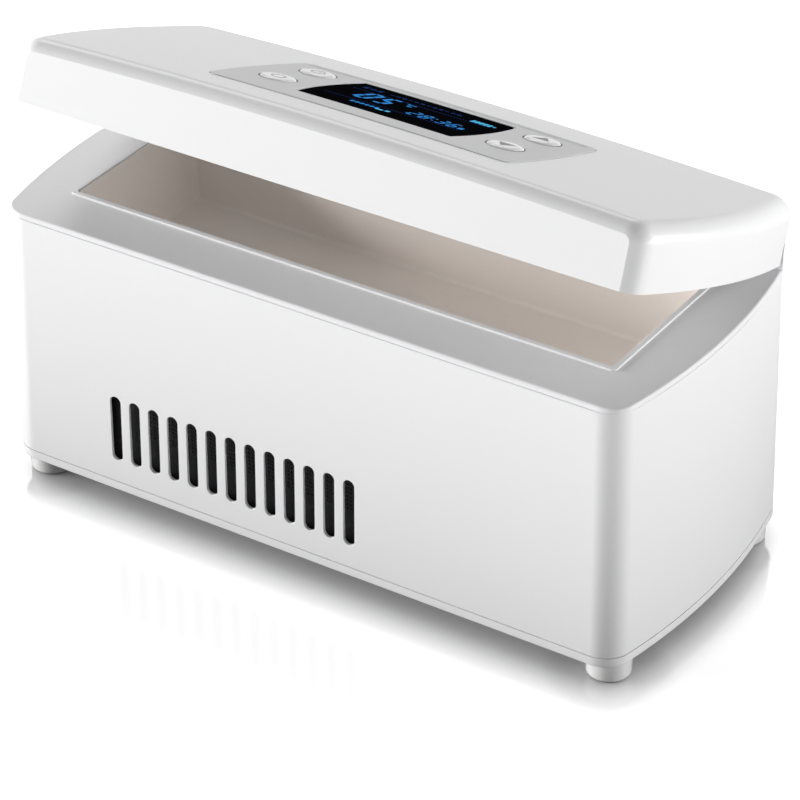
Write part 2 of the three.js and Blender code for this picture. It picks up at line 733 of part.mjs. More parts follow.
// One blade: four-cornered sections from the hub to the tip, turned to the pitch and swept back
function blade(height) {
  const stations = 4;
  const root = fanHubRadius - 2 * bladeThick;
  const tip = fanDuctRadius - bladeTipGap;
  const pitch = THREE.MathUtils.degToRad(bladePitchDeg);
  const points = [];
  for (let i = 0; i <= stations; i += 1) {
    const share = i / stations;
    const radius = root + (tip - root) * share;
    const chord = bladeRootChord + (bladeTipChord - bladeRootChord) * share;
    const sweep = THREE.MathUtils.degToRad(bladeSweepDeg) * share * share;
    const rise = Math.min(chord * Math.sin(pitch), height - bladeThick) / 2;
    const run = chord * Math.cos(pitch) / 2;
    for (const [side, face] of [[-1, -1], [1, -1], [1, 1], [-1, 1]]) {
      const angle = sweep + side * run / Math.max(radius, fanHubRadius);
      const z = height / 2 + side * rise + face * bladeThick / 2;
      points.push(radius * Math.cos(angle), radius * Math.sin(angle), z);
    }
  }
  const faces = [0, 2, 1, 0, 3, 2];
  const end = stations * 4;
  for (let i = 0; i < stations; i += 1) {
    for (let j = 0; j < 4; j += 1) {
      const a = i * 4 + j;
      const b = i * 4 + (j + 1) % 4;
      faces.push(a, b, b + 4, a, b + 4, a + 4);
    }
  }
  faces.push(end, end + 1, end + 2, end, end + 2, end + 3);
  const geometry = new THREE.BufferGeometry();
  geometry.setAttribute('position', new THREE.Float32BufferAttribute(points, 3));
  geometry.setIndex(faces);
  return toSolid(geometry);
}

function fanRotor() {
  const bottom = fanBottom + fanHubPlate + fitGap;
  const height = fanTop - bottom;
  const hub = post(0, 0, 0, height, fanHubRadius);
  const bore = post(0, 0, -overrun, height - hubTopWall, shaftRadius + shaftGap, smallSides);
  const blades = [];
  for (let i = 0; i < bladeCount; i += 1) {
    blades.push(blade(height).rotate([0, 0, i * 360 / bladeCount]));
  }
  return join([hub, ...blades]).subtract(bore).translate([ventCentreX, 0, bottom]);
}

// Three round cells side by side in one shrink wrap
function batteryPack() {
  const left = batteryCentreX - cellLength / 2;
  const right = batteryCentreX + cellLength / 2;
  const cells = [];
  for (let i = 0; i < cellCount; i += 1) {
    const y = 2 * cellRadius * (i - (cellCount - 1) / 2);
    cells.push(rodX(left, right, y, cellMiddle, cellRadius));
  }
  const web = block(left, right, -packDepth / 2 + cellRadius, packDepth / 2 - cellRadius,
    cellMiddle - packWebHeight / 2, cellMiddle + packWebHeight / 2);
  return join([...cells, web]);
}

function mainBoard() {
  const plate = prism(roundedRectangle(batteryCentreX, 0, boardLength, boardDepth, boardCorner),
    boardUnderside, boardTop);
  const right = batteryCentreX + boardLength / 4;
  const parts = [-1, 1].map((side) => (
    post(right + side * 1.5 * capacitorRadius, -boardDepth / 4, boardUnderside, boardTop + capacitorHeight,
      capacitorRadius, smallSides)));
  parts.push(blockAt(right, boardDepth / 8, coilSide, coilSide, boardUnderside, boardTop + coilHeight));
  for (const side of [-1, 1]) {
    parts.push(blockAt(batteryCentreX - boardLength / 4, side * boardDepth / 5, chipSide, chipSide,
      boardUnderside, boardTop + chipHeight));
  }
  return join([plate, ...parts]);
}

// DC jack: a housing on the board whose nose reaches into the rear wall, with a bore and a centre pin
function dcJack() {
  const face = halfDepth - shellWall - 2 * fitGap;
  const noseEnd = face + jackNoseReach;
  const body = block(jackX - jackWidth / 2, jackX + jackWidth / 2, face - jackBodyDepth, face,
    jackBottom, jackBottom + jackHeight);
  const nose = rodY(jackX, face - overrun, noseEnd, jackMiddle, jackNoseRadius);
  const bore = rodY(jackX, noseEnd - jackBoreDepth, noseEnd + overrun, jackMiddle, jackBoreRadius, smallSides);
  const pin = rodY(jackX, noseEnd - jackBoreDepth - overrun, noseEnd - jackNoseReach, jackMiddle, jackPinRadius,
    smallSides);
  return body.add(nose).subtract(bore).add(pin);
}

const hingePin = (side) => rodX(side * knuckleX - pinLength / 2, side * knuckleX + pinLength / 2,
  axisY, axisZ, pinRadius, smallSides);

// The lid's outer and inner forms: upright skirt, rounded top edge, top crowned along its length
function lidForm(inset, bottom, drop, radius) {
  const levels = [{ inset: lidInset + inset, z: bottom }];
  for (let i = 0; i <= edgeSteps; i += 1) {
    const turn = Math.PI / 2 * i / edgeSteps;
    levels.push({
      inset: lidInset + lidDraft + inset + radius * (1 - Math.cos(turn)),
      z: lidHeight - drop - radius * (1 - Math.sin(turn)),
      crowned: true,
    });
  }
  return loft(casePlan, levels);
}

// The room that the riser needs in the shut lid, plus a margin, and behind it as the lid swings up
function riserRoom(margin) {
  const reach = caseLength / 2 + overrun;
  const clear = riserClear + margin;
  const back = halfDepth + caseFlare + overrun;
  return join([
    rodX(-reach, reach, lidAxisY, lidAxisZ, clear),
    block(-reach, reach, lidAxisY - clear, back, -overrun, lidAxisZ),
    block(-reach, reach, lidAxisY, back, -overrun, lidAxisZ + clear),
  ]);
}

function lidShell() {
  const outer = lidForm(0, 0, 0, lidEdgeRadius);
  const inner = lidForm(lidWall, -overrun, lidWall, lidEdgeRadius - lidWall);
  const trough = riserRoom(troughWall).intersect(outer);
  const bosses = corners(lidBossX, lidBossY).map(([x, y]) => (
    post(x, y, lidLinerRise + lidLinerThick + fitGap, lidHeight - lidWall, lidBossRadius, smallSides)));
  const pilots = corners(lidBossX, lidBossY).map(([x, y]) => (
    post(x, y, 0, lidLinerRise + lidScrewLength + fitGap, screwRadius + screwGap, smallSides)));
  const recess = panelLoft(panelPlan, 0, panelRecess, -overrun);
  const windowPlan = { ...glassPlan, length: glassLength - 2 * glassLedge, depth: glassDepth - 2 * glassLedge };
  const windowHole = panelLoft(windowPlan, 0, 2 * lidWall, -overrun);
  const buttonHoles = buttonPlaces().map(([x, y]) => (
    post(x, y, lidHeight / 2, lidHeight + overrun, buttonRadius + buttonFlange + buttonSideGap)));
  const knuckles = [-1, 1].map((side) => {
    const left = side * knuckleX - knuckleWidth / 2;
    const right = side * knuckleX + knuckleWidth / 2;
    return rodX(left, right, lidAxisY, lidAxisZ, knuckleRadius).add(
      block(left, right, lidAxisY - knuckleRadius, lidAxisY + knuckleRadius - troughWall,
        lidAxisZ, lidAxisZ + riserClear + troughWall / 2));
  });
  const pinBore = rodX(-caseLength / 2, caseLength / 2, lidAxisY, lidAxisZ, pinRadius + pinGap, smallSides);
  return outer.subtract(inner).add(trough)
    .add(join(bosses).intersect(outer))
    .subtract(riserRoom(0))
    .add(join(knuckles))
    .subtract(join([recess, windowHole, ...buttonHoles, ...pilots, pinBore]));
}

const panelPlan = { length: panelLength, depth: panelDepth, bulge: panelBulge, corner: panelCorner, y: panelY };
const glassPlan = { length: glassLength, depth: glassDepth, bulge: glassBulge, corner: glassCorner, y: glassY };

// A plate that follows the crown, from one depth below the lid's face to another
const panelLoft = (plan, inset, low, high) => loft(plan, [
  { inset, z: lidHeight - low, crowned: true },
  { inset, z: lidHeight - high, crowned: true },
]);

const buttonPlaces = () => buttonRows.flatMap((y) => [[-buttonX, y], [buttonX, y]]);

function controlPanel() {
  const plate = panelLoft(panelPlan, panelEdgeGap, panelSink + panelThick, panelSink);
  const glassHole = panelLoft(glassPlan, 0, panelRecess + overrun, -overrun);
  const holes = buttonPlaces().map(([x, y]) => (
    post(x, y, lidHeight / 2, lidHeight + overrun, buttonRadius + buttonSideGap)));
  return plate.subtract(join([glassHole, ...holes]));
}

const displayWindow = () => panelLoft(glassPlan, panelEdgeGap, panelSink + glassThick, panelSink);

// A button: round cap with a soft edge, a flange that the panel holds down, and a stem over its switch
function button(x, y) {
  const top = buttonFace + buttonProud;
  const profile = [
    new THREE.Vector2(0, switchTop + buttonToSwitch),
    new THREE.Vector2(buttonStemRadius, switchTop + buttonToSwitch),
    new THREE.Vector2(buttonStemRadius, flangeBottom),
    new THREE.Vector2(buttonRadius + buttonFlange, flangeBottom),
    new THREE.Vector2(buttonRadius + buttonFlange, flangeTop),
    new THREE.Vector2(buttonRadius, flangeTop),
    new THREE.Vector2(buttonRadius, top - buttonEdge),
    new THREE.Vector2(buttonRadius - buttonEdge * (1 - Math.SQRT1_2), top - buttonEdge * (1 - Math.SQRT1_2)),
    new THREE.Vector2(buttonRadius - buttonEdge, top),
    new THREE.Vector2(0, top),
  ];
  const geometry = new THREE.LatheGeometry(profile, roundSides);
  geometry.rotateX(Math.PI / 2);
  geometry.translate(x, y, 0);
  return toSolid(geometry);
}

function tactSwitch(x, y) {
  return blockAt(x, y, switchSide, switchSide, switchBottom, switchBottom + switchBody)
    .add(post(x, y, switchBottom, switchTop, buttonStemRadius, smallSides));
}

const displayModule = () => blockAt(0, glassY, moduleLength, moduleDepth, lidBoardTop + fitGap,
  lidHeight - crownFall(glassLength / 2) - panelSink - glassThick - fitGap);

const displayBoard = () => prism(roundedRectangle(0, panelY, lidBoardLength, lidBoardDepth, boardCorner),
  lidBoardUnder, lidBoardTop);

// The lid's underside: a plate inside the skirt, and a shallow plug that enters the well's mouth
function lidLiner() {
  const inset = lidWall + 2 * fitGap;
  const plate = loft(casePlan, [
    { inset: lidInset + inset, z: lidLinerRise },
    { inset: lidInset + inset, z: lidLinerRise + lidLinerThick },
  ]);
  const plug = prism(roundedRectangle(0, wellY, wellLength - 2 * plugInset, wellDepthY - 2 * plugInset, plugCorner),
    lidLinerRise - plugDepth, lidLinerRise + lidLinerThick);
  const screwHoles = corners(lidBossX, lidBossY).map(([x, y]) => join([
    post(x, y, -overrun, lidLinerRise + lidLinerThick + overrun, screwRadius + screwGap, smallSides),
    post(x, y, -overrun, lidLinerRise + screwHeadHeight / 2, screwHeadRadius + screwGap, smallSides),
  ]));
  return plate.add(plug).subtract(riserRoom(troughWall + fitGap)).subtract(join(screwHoles));
}

function lidSeal() {
  const inner = lipWidth + sealGap;
  const outer = inner + sealWidth;
  const ring = prism(roundedRectangle(0, wellY, wellLength + 2 * outer, wellDepthY + 2 * outer,
    mouthCorner + outer), -sealBelowRim, lidLinerRise - fitGap);
  const hole = prism(roundedRectangle(0, wellY, wellLength + 2 * inner, wellDepthY + 2 * inner,
    mouthCorner + inner), -sealBelowRim - overrun, lidLinerRise + overrun);
  return ring.subtract(hole);
}

function lidInsulation() {
  const inset = lidInset + lidWall + foamEdgeGap;
  const slab = loft(casePlan, [{ inset, z: foamRise }, { inset, z: lidFoamTop }]);
  const bossRooms = corners(lidBossX, lidBossY).map(([x, y]) => (
    post(x, y, foamRise - overrun, lidFoamTop + overrun, lidBossRadius + fitGap, smallSides)));
  return slab.subtract(riserRoom(troughWall + fitGap)).subtract(join(bossRooms));
}

// The case
add('outer_shell', outerShell(), white);
add('base_cover', baseCover(), white);
add('top_bezel', topBezel(), white);
add('storage_liner', storageLiner(), cream);
const screenTop = slotMiddle + screenHeight / 2;
const screenY = halfDepth - shellWall - flareAt(screenTop) - fitGap - screenThick / 2;
add('vent_screen_front', ventScreen(-screenY), black);
add('vent_screen_rear', ventScreen(screenY), black);
const footNames = ['foot_front_left', 'foot_front_right', 'foot_rear_right', 'foot_rear_left'];
corners(footX, footY).forEach(([x, y], i) => add(footNames[i], foot(x, y), whiteMatte));
corners(postX, postY).forEach(([x, y], i) => (
  add(`base_screw_${i + 1}`, screw(x, y, 0, screwLength), steel)));
add('hinge_pin_left', hingePin(-1), steel);
add('hinge_pin_right', hingePin(1), steel);
add('insulation_tray', insulationTray(), foam);
add('cold_block', coldBlock(), aluminium);
add('tec_module', tecModule(), ceramic);
add('heat_sink', heatSink(), aluminium);
add('fan_frame', fanFrame(), black);
add('fan_rotor', fanRotor(), black);
add('battery_pack', batteryPack(), cellWrap);
add('main_board', mainBoard(), boardGreen);
add('dc_jack', dcJack(), black);

// The lid, modelled shut and then swung open round the hinge axis
add('lid_shell', lidShell(), white, lidPieces);
add('lid_liner', lidLiner(), whiteMatte, lidPieces);
add('lid_seal', lidSeal(), sealGrey, lidPieces);
add('lid_insulation', lidInsulation(), foam, lidPieces);
add('control_panel', controlPanel(), silver, lidPieces);
add('display_window', displayWindow(), glassBlack, lidPieces);
add('display_module', displayModule(), black, lidPieces);
add('display_board', displayBoard(), boardGreen, lidPieces);
const buttonNames = ['set', 'down', 'power', 'up'];
buttonPlaces().forEach(([x, y], i) => {
  add(`button_${buttonNames[i]}`, button(x, y), buttonWhite, lidPieces);
  add(`switch_${buttonNames[i]}`, tactSwitch(x, y), black, lidPieces);
});
corners(lidBossX, lidBossY).forEach(([x, y], i) => (
  add(`lid_screw_${i + 1}`, screw(x, y, lidLinerRise - screwHeadHeight / 2, lidScrewLength), steel, lidPieces)));

lidPieces.position.set(0, -lidAxisY, -lidAxisZ);
const lidSwing = new THREE.Group();
lidSwing.add(lidPieces);
lidSwing.position.set(0, axisY, axisZ);
lidSwing.rotation.x = -THREE.MathUtils.degToRad(lidOpenDeg);
pieces.add(lidSwing);
pieces.position.z = footHeight;

// The whole case, its box centred over the origin
const coolingCase = new THREE.Group();
coolingCase.add(pieces);
coolingCase.updateMatrixWorld(true);
const reach = new THREE.Box3().setFromObject(coolingCase, true);
pieces.position.y = -(reach.min.y + reach.max.y) / 2;

export default coolingCase;
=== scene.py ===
"""Insulin cooling case: the pieces that show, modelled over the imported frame, with their finishes and a studio.

Lengths are in metres in the frame's own axes: +X along the case, the front at -Y, +Z up, feet at zero.
The lid's pieces are modelled shut and then swung open round the hinge, as the frame holds them at rest.
"""

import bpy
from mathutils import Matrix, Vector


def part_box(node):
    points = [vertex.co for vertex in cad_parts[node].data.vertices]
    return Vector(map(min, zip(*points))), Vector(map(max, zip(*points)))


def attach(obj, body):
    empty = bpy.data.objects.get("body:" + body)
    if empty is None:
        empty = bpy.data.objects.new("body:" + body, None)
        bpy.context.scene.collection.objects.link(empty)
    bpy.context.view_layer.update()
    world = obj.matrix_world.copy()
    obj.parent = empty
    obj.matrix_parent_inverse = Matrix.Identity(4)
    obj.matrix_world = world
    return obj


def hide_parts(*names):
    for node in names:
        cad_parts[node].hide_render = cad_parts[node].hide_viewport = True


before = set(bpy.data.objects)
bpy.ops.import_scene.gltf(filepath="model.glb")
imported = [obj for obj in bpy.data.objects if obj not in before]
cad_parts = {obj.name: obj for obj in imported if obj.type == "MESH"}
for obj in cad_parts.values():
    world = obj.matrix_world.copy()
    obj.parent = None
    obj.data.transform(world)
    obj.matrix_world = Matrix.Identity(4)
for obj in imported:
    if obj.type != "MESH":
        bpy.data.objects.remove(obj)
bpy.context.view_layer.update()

import math
from collections import namedtuple

import bpy
from mathutils import Matrix, Vector

bl_info = {
    "name": "Insulin cooling case",
    "version": (1, 0, 0),
    "blender": (4, 5, 0),
    "location": "View3D > Sidebar > Cooling case",
    "description": "Models a cooling case with a hinged lid, a display and four buttons",
    "category": "Object",
}

MM = 0.001
SLACK = 0.01 * MM
LIP_FIT = 0.3 * MM
SCREW_HEAD = 3 * MM
PIN_RADIUS = 1.5 * MM
BUTTONS = ("set", "down", "power", "up")
Plan = namedtuple("Plan", "length depth bulge corner y")


def length(name, description, millimetres):
    return bpy.props.FloatProperty(
        name=name, description=description, default=millimetres * MM, unit="LENGTH", precision=5
    )


def count(name, description, default):
    return bpy.props.IntProperty(name=name, description=description, default=default, min=1)


def colour(name, description, default):
    return bpy.props.FloatVectorProperty(
        name=name, description=description, default=default, subtype="COLOR", size=3, min=0, max=1
    )


class CaseSizes(bpy.types.PropertyGroup):
    """Walls, deck and well of the case"""

    length: length("Length", "Over the bulged ends", 200)
    depth: length("Depth", "Front to back at the top", 88.6)
    bulge: length("End bulge", "How far each end stands out in its middle", 5.2)
    corner: length("Corner", "Radius of the upright corners", 7)
    flare: length("Flare", "How much further out the walls stand at the bottom", 1)
    foot_height: length("Foot height", "Floor to the base", 6.8)
    foot_radius: length("Foot radius", "Radius of a foot at its top", 6.2)
    foot_low_radius: length("Tread radius", "Radius of a foot at its tread", 6)
    foot_edge: length("Tread edge", "Rounding of the tread", 1.1)
    base_band: length("Base band", "Height of the base's edge", 2.8)
    base_edge: length("Base edge", "Rounding of the base's lower edge", 0.6)
    shell_top: length("Shell top", "Upper parting line above the base's underside", 76.1)
    deck_top: length("Deck top", "Deck above the base's underside", 77.8)
    deck_round: length("Deck rounding", "Radius of the deck's outer edge", 0.7)
    seam: length("Seam", "Open line between mouldings", 0.2)
    wall: length("Wall", "Thickness of the walls", 2.2)
    well_from_end: length("Well from end", "Well's mouth from each end", 16.7)
    well_from_front: length("Well from front", "Well's mouth from the front", 17.2)
    well_from_back: length("Well from back", "Well's mouth from the back", 17.8)
    well_height: length("Well depth", "Lip to the well's floor", 27.5)
    well_corner: length("Well corner", "Radius of the liner's upright corners", 1.6)
    liner_wall: length("Liner wall", "Thickness of the liner's wall", 0.4)
    liner_gap: length("Liner gap", "Liner inside the mouth", 0.1)
    lip_height: length("Lip height", "Lip round the mouth above the deck", 0.6)
    lip_width: length("Lip width", "Width of the lip", 1.3)
    slots: count("Slots", "Vent slots in one row", 13)
    slot_pitch: length("Slot pitch", "Spacing of the slots", 6.3)
    slot_width: length("Slot width", "Width of a slot", 3.4)
    slot_bottom: length("Slot bottom", "Foot of the slots above the base's underside", 9.9)
    slot_top: length("Slot top", "Head of the slots above the base's underside", 30.1)
    slots_from_end: length("Slots from end", "Middle of the row from the left end", 77.8)
    slot_edge: length("Slot edge", "Thickness of the wall round the slots", 0.9)
    intakes: count("Intakes", "Slots of the air intake in the base", 9)
    intake_pitch: length("Intake pitch", "Spacing of the intake's slots", 5)
    intake_width: length("Intake width", "Width of one intake slot", 2.4)
    intake_length: length("Intake length", "Length of one intake slot", 40)
    jack_x: length("Inlet place", "Power inlet from the middle", 50)
    jack_hole: length("Inlet hole", "Radius of the hole for the inlet", 4.3)


class LidSizes(bpy.types.PropertyGroup):
    """The lid and its hinge"""

    height: length("Height", "Rim to the middle of the top", 19)
    crown: length("Crown", "How much lower the top is at the ends", 2.1)
    draft: length("Draft", "How far the skirt leans in at its top", 0.4)
    inset: length("Inset", "Lid's rim inside the case's outline", 0.1)
    edge: length("Top edge", "Radius of the top's edge", 5.25)
    wall: length("Wall", "Thickness of the lid", 2.2)
    rim_gap: length("Rim gap", "Rim above the deck when shut", 0.8)
    knuckle: length("Knuckle radius", "Radius of the riser's round top", 3)
    axis_rise: length("Axis rise", "Hinge axis above the deck", 4.5)
    knuckle_width: length("Knuckle width", "Width of one lid knuckle", 14)
    knuckle_from_end: length("Knuckle from end", "Knuckle's middle from the end", 42)
    gap: length("Running gap", "Clearance round the riser", 0.5)
    front_flat: length("Front flat", "How far the flat front is set into the rounded edges", 0.35)
    liner_rise: length("Liner rise", "Lid liner above the rim", 1.2)
    liner_thick: length("Liner thickness", "Thickness of the lid liner", 1.8)
    plug: length("Plug depth", "How far the liner's plug hangs down", 2.5)
    open_angle: bpy.props.FloatProperty(
        name="Open angle", description="How far the lid stands open", default=math.radians(20.7), subtype="ANGLE"
    )


class PanelSizes(bpy.types.PropertyGroup):
    """The control panel in the lid"""

    length: length("Length", "Over the bulged ends", 95)
    depth: length("Depth", "Front to back", 49.7)
    from_front: length("From front", "Panel's front edge from the lid's front", 17.3)
    bulge: length("End bulge", "How far each end stands out", 1.6)
    corner: length("Corner", "Radius of the panel's corners", 3)
    recess: length("Recess", "Depth of the recess in the lid", 1.3)
    proud: length("Height", "Panel's face above the lid's face", 0.2)
    gap: length("Gap", "Line round the panel", 0.3)
    glass_length: length("Display length", "Over the bulged ends", 50)
    glass_depth: length("Display depth", "Front to back", 34.6)
    glass_from_front: length("Display from front", "Display's front edge from the lid's front", 26.4)
    glass_bulge: length("Display bulge", "How far the display's ends stand out", 1.6)
    glass_corner: length("Display corner", "Radius of the display's corners", 0.6)
    glass_thick: length("Display thickness", "Thickness of the display's window", 1)
    button_radius: length("Button radius", "Radius of a button's cap", 5)
    button_x: length("Button place", "Buttons from the middle", 35)
    button_front: length("Front buttons", "Front row from the lid's front", 35.4)
    button_pitch: length("Button rows", "Distance between the rows", 19.8)
    button_proud: length("Button height", "Caps above the panel", 0.5)
    # The dark ring round a cap is painted shade: it fills the gap round the cap, where only shade falls
    gap_shade_width: length("Button gap shade", "Width of the dark ring round a cap", 0.35)
    rim: length("Display rim", "Slope round the display", 0.35)


class Finishes(bpy.types.PropertyGroup):
    """Colours of the mouldings and the display"""

    white: colour("Case", "Glossy white plastic", (0.86, 0.86, 0.865))
    # The deck is the case's white plastic, set a little darker: painted shade for the shadow the lid casts on it
    deck: colour("Deck", "White plastic of the deck", (0.84, 0.84, 0.85))
    liner: colour("Well", "Cream plastic of the well", (0.96, 0.9, 0.85))
    panel: colour("Panel", "Silver plastic of the panel", (0.64, 0.64, 0.65))
    cap: colour("Buttons", "White plastic of the buttons", (0.8, 0.8, 0.8))
    # Also the colour of the dark rings that paint the shade in the gaps round the caps
    mark: colour("Marks", "Printed marks on the buttons", (0.09, 0.09, 0.095))
    glass: colour("Display glass", "Black window of the display", (0.004, 0.004, 0.005))
    lit: colour("Lit segments", "Blue of the display's digits", (0.035, 0.27, 0.72))
    lit_bright: colour("Bright segments", "Cyan of the battery bar", (0.1, 0.55, 0.9))
    lit_dim: colour("Dim segments", "Dark blue of the faint marks", (0.005, 0.03, 0.14))
    screen: colour("Screen", "Black mesh behind the slots", (0.006, 0.006, 0.007))


def case():
    return bpy.context.scene.case_sizes


def lid():
    return bpy.context.scene.lid_sizes


def panel():
    return bpy.context.scene.panel_sizes


def finishes():
    return bpy.context.scene.case_finishes


def middle_of(node):
    low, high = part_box(node)
    return [(a + b) / 2 for a, b in zip(low, high)]


def middle_y():
    """The middle of the case's depth, which the frame has moved off zero"""
    return middle_of("outer_shell")[1]


def above_base(z):
    return case().foot_height + z


def flare_at(z):
    """Inset of the sloping wall at a height above the base's underside: negative, because it leans out"""
    return -case().flare * (1 - z / case().shell_top)


def case_plan():
    return Plan(case().length, case().depth, case().bulge, case().corner, middle_y())


def hinge_axis():
    """Y and Z of the hinge axis"""
    y = middle_y() + case().depth / 2 - lid().knuckle
    return y, above_base(case().deck_top + lid().axis_rise)


def knuckle_places():
    return [side * (case().length / 2 - lid().knuckle_from_end) for side in (-1, 1)]


def rim_z():
    return above_base(case().deck_top + lid().rim_gap)


def lid_face_z():
    return rim_z() + lid().height


def lid_front_y():
    return middle_y() - case().depth / 2


# Modelling steps
def deselect():
    bpy.ops.object.select_all(action="DESELECT")


def pick(piece):
    deselect()
    piece.select_set(True)
    bpy.context.view_layer.objects.active = piece


def added(name):
    """The primitive that was just added, with its place moved into its mesh"""
    piece = bpy.context.active_object
    piece.name = name
    bpy.ops.object.transform_apply(location=True, rotation=True, scale=True)
    return piece


def enter(kind):
    """Enters edit mode to work on vertices (0), edges (1) or faces (2)"""
    bpy.context.tool_settings.mesh_select_mode = [i == kind for i in range(3)]
    bpy.ops.object.mode_set(mode="EDIT")


def edit(piece):
    pick(piece)
    enter(0)
    bpy.ops.mesh.select_all(action="SELECT")


def leave():
    bpy.ops.object.mode_set(mode="OBJECT")


def clear_marks(piece):
    pick(piece)
    for part in (piece.data.vertices, piece.data.edges, piece.data.polygons):
        part.foreach_set("select", [False] * len(part))


def select_faces(piece, wanted):
    """Enters edit mode with the faces selected whose centre and normal pass the test"""
    clear_marks(piece)
    for face in piece.data.polygons:
        face.select = wanted(face.center, face.normal)
    enter(2)


def select_edges(piece, axis):
    """Enters edit mode with the edges selected that run along one axis"""
    clear_marks(piece)
    for edge in piece.data.edges:
        a, b = (piece.data.vertices[i].co for i in edge.vertices)
        edge.select = abs((b - a).normalized()[axis]) > 0.9
    enter(1)


def facing_up(centre, normal):
    return normal.z > 0.9


def facing_down(centre, normal):
    return normal.z < -0.9


def apply_modifier(piece, kind, **settings):
    pick(piece)
    modifier = piece.modifiers.new(kind.lower(), kind)
    for key, value in settings.items():
        setattr(modifier, key, value)
    bpy.ops.object.modifier_apply(modifier=modifier.name)


def combine(piece, tool, operation="DIFFERENCE"):
    """Cuts, joins or clips a piece with another one, which is used up"""
    apply_modifier(piece, "BOOLEAN", operation=operation, solver="EXACT", object=tool)
    bpy.data.objects.remove(tool)


def repeat(piece, times, step, **settings):
    """Repeats a piece in a row"""
    apply_modifier(
        piece, "ARRAY", count=times, use_relative_offset=False, use_constant_offset=True,
        constant_offset_displace=step, **settings,
    )


def soften(piece, width, segments=2, angle=50):
    """Rounds the sharp edges a little, as a mould does"""
    apply_modifier(
        piece, "BEVEL", width=width, segments=segments, limit_method="ANGLE",
        angle_limit=math.radians(angle), miter_outer="MITER_ARC", harden_normals=False,
    )


def outwards(piece):
    edit(piece)
    bpy.ops.mesh.remove_doubles(threshold=SLACK / 2)
    bpy.ops.mesh.normals_make_consistent(inside=False)
    leave()


def block(name, low, high):
    """A box between two corners"""
    middle = [(a + b) / 2 for a, b in zip(low, high)]
    size = [b - a for a, b in zip(low, high)]
    deselect()
    bpy.ops.mesh.primitive_cube_add(size=1, location=middle, scale=size)
    return added(name)


def rounded_block(name, low, high, radius, axis=2, segments=8):
    """A box whose four edges along one axis are rounded"""
    piece = block(name, low, high)
    select_edges(piece, axis)
    bpy.ops.mesh.bevel(offset=radius, segments=segments)
    leave()
    outwards(piece)
    return piece


def rod(name, middle, radius, span, axis=2, sides=48):
    """A cylinder along one axis"""
    turns = ((0, math.pi / 2, 0), (math.pi / 2, 0, 0), (0, 0, 0))
    deselect()
    bpy.ops.mesh.primitive_cylinder_add(
        vertices=sides, radius=radius, depth=span, location=middle, rotation=turns[axis]
    )
    return added(name)


def draw_plan(name, plan, inset, z, corner_steps=14, end_steps=22):
    """Draws the bulged outline as one loop: straight runs are extruded, corners and ends are spun"""
    side = plan.depth / 2 - inset
    end_radius = (plan.depth ** 2 / 4 + plan.bulge ** 2) / (2 * plan.bulge)
    end_centre = plan.length / 2 - end_radius
    corner = max(plan.corner - inset, plan.corner / 8)
    corner_y = side - corner
    corner_x = end_centre + math.sqrt((end_radius - inset - corner) ** 2 - corner_y ** 2)
    meet = math.atan2(corner_y, corner_x - end_centre)
    deselect()
    bpy.ops.mesh.primitive_plane_add(size=corner, location=(-corner_x, plan.y - side, z))
    piece = added(name)
    edit(piece)
    bpy.ops.mesh.merge(type="CENTER")
    for way in (1, -1):
        bpy.ops.mesh.extrude_region_move(TRANSFORM_OT_translate={"value": (way * 2 * corner_x, 0, 0)})
        moves = (
            (corner_steps, meet - math.pi / 2, way * corner_x, plan.y - way * corner_y),
            (end_steps, -2 * meet, way * end_centre, plan.y),
            (corner_steps, meet - math.pi / 2, way * corner_x, plan.y + way * corner_y),
        )
        for steps, angle, x, y in moves:
            bpy.ops.mesh.spin(steps=steps, angle=angle, center=(x, y, z), axis=(0, 0, 1))
    bpy.ops.mesh.select_all(action="SELECT")
    bpy.ops.mesh.remove_doubles(threshold=SLACK)
    leave()
    return piece


def plan_block(name, plan, low, high, **steps):
    """A solid on the bulged outline between two levels, each an inset and a height"""
    piece = draw_plan(name, plan, low[0], low[1], **steps)
    edit(piece)
    bpy.ops.mesh.edge_face_add()
    bpy.ops.mesh.extrude_region_move(TRANSFORM_OT_translate={"value": (0, 0, high[1] - low[1])})
    narrowed = (
        (plan.length - 2 * high[0]) / (plan.length - 2 * low[0]),
        (plan.depth - 2 * high[0]) / (plan.depth - 2 * low[0]),
        1,
    )
    bpy.ops.transform.resize(value=narrowed, center_override=(0, plan.y, high[1]))
    bpy.ops.mesh.select_all(action="SELECT")
    bpy.ops.mesh.normals_make_consistent(inside=False)
    leave()
    return piece


def level_block(name, inset, low, high):
    """A solid on the case's outline with upright sides"""
    return plan_block(name, case_plan(), (inset, low), (inset, high))


def well_block(name, margin, low, high, radius):
    """A box round the well's mouth, wider than the mouth by a margin on each side"""
    sizes = case()
    y = middle_y() + (sizes.well_from_front - sizes.well_from_back) / 2
    half_length = (sizes.length - 2 * sizes.well_from_end) / 2
    half_depth = (sizes.depth - sizes.well_from_front - sizes.well_from_back) / 2
    return rounded_block(
        name, (-half_length - margin, y - half_depth - margin, low),
        (half_length + margin, y + half_depth + margin, high), radius,
    )


def round_rim(piece, wanted, radius, segments):
    """Rounds the edge round the faces that pass the test"""
    select_faces(piece, wanted)
    bpy.ops.mesh.region_to_loop()
    bpy.ops.mesh.bevel(offset=radius, segments=segments)
    leave()


def round_top(piece, z, radius, segments):
    round_rim(
        piece, lambda centre, normal: normal.z > 0.9 and abs(centre.z - z) < SLACK * 10, radius, segments
    )


def slice_across(piece, reach, step=5 * MM):
    """Adds level cuts across the length, so that a crown can bend the piece"""
    edit(piece)
    x = -reach
    while x <= reach + SLACK:
        bpy.ops.mesh.select_all(action="SELECT")
        bpy.ops.mesh.bisect(plane_co=(x, 0, 0), plane_no=(1, 0, 0))
        x += step
    leave()


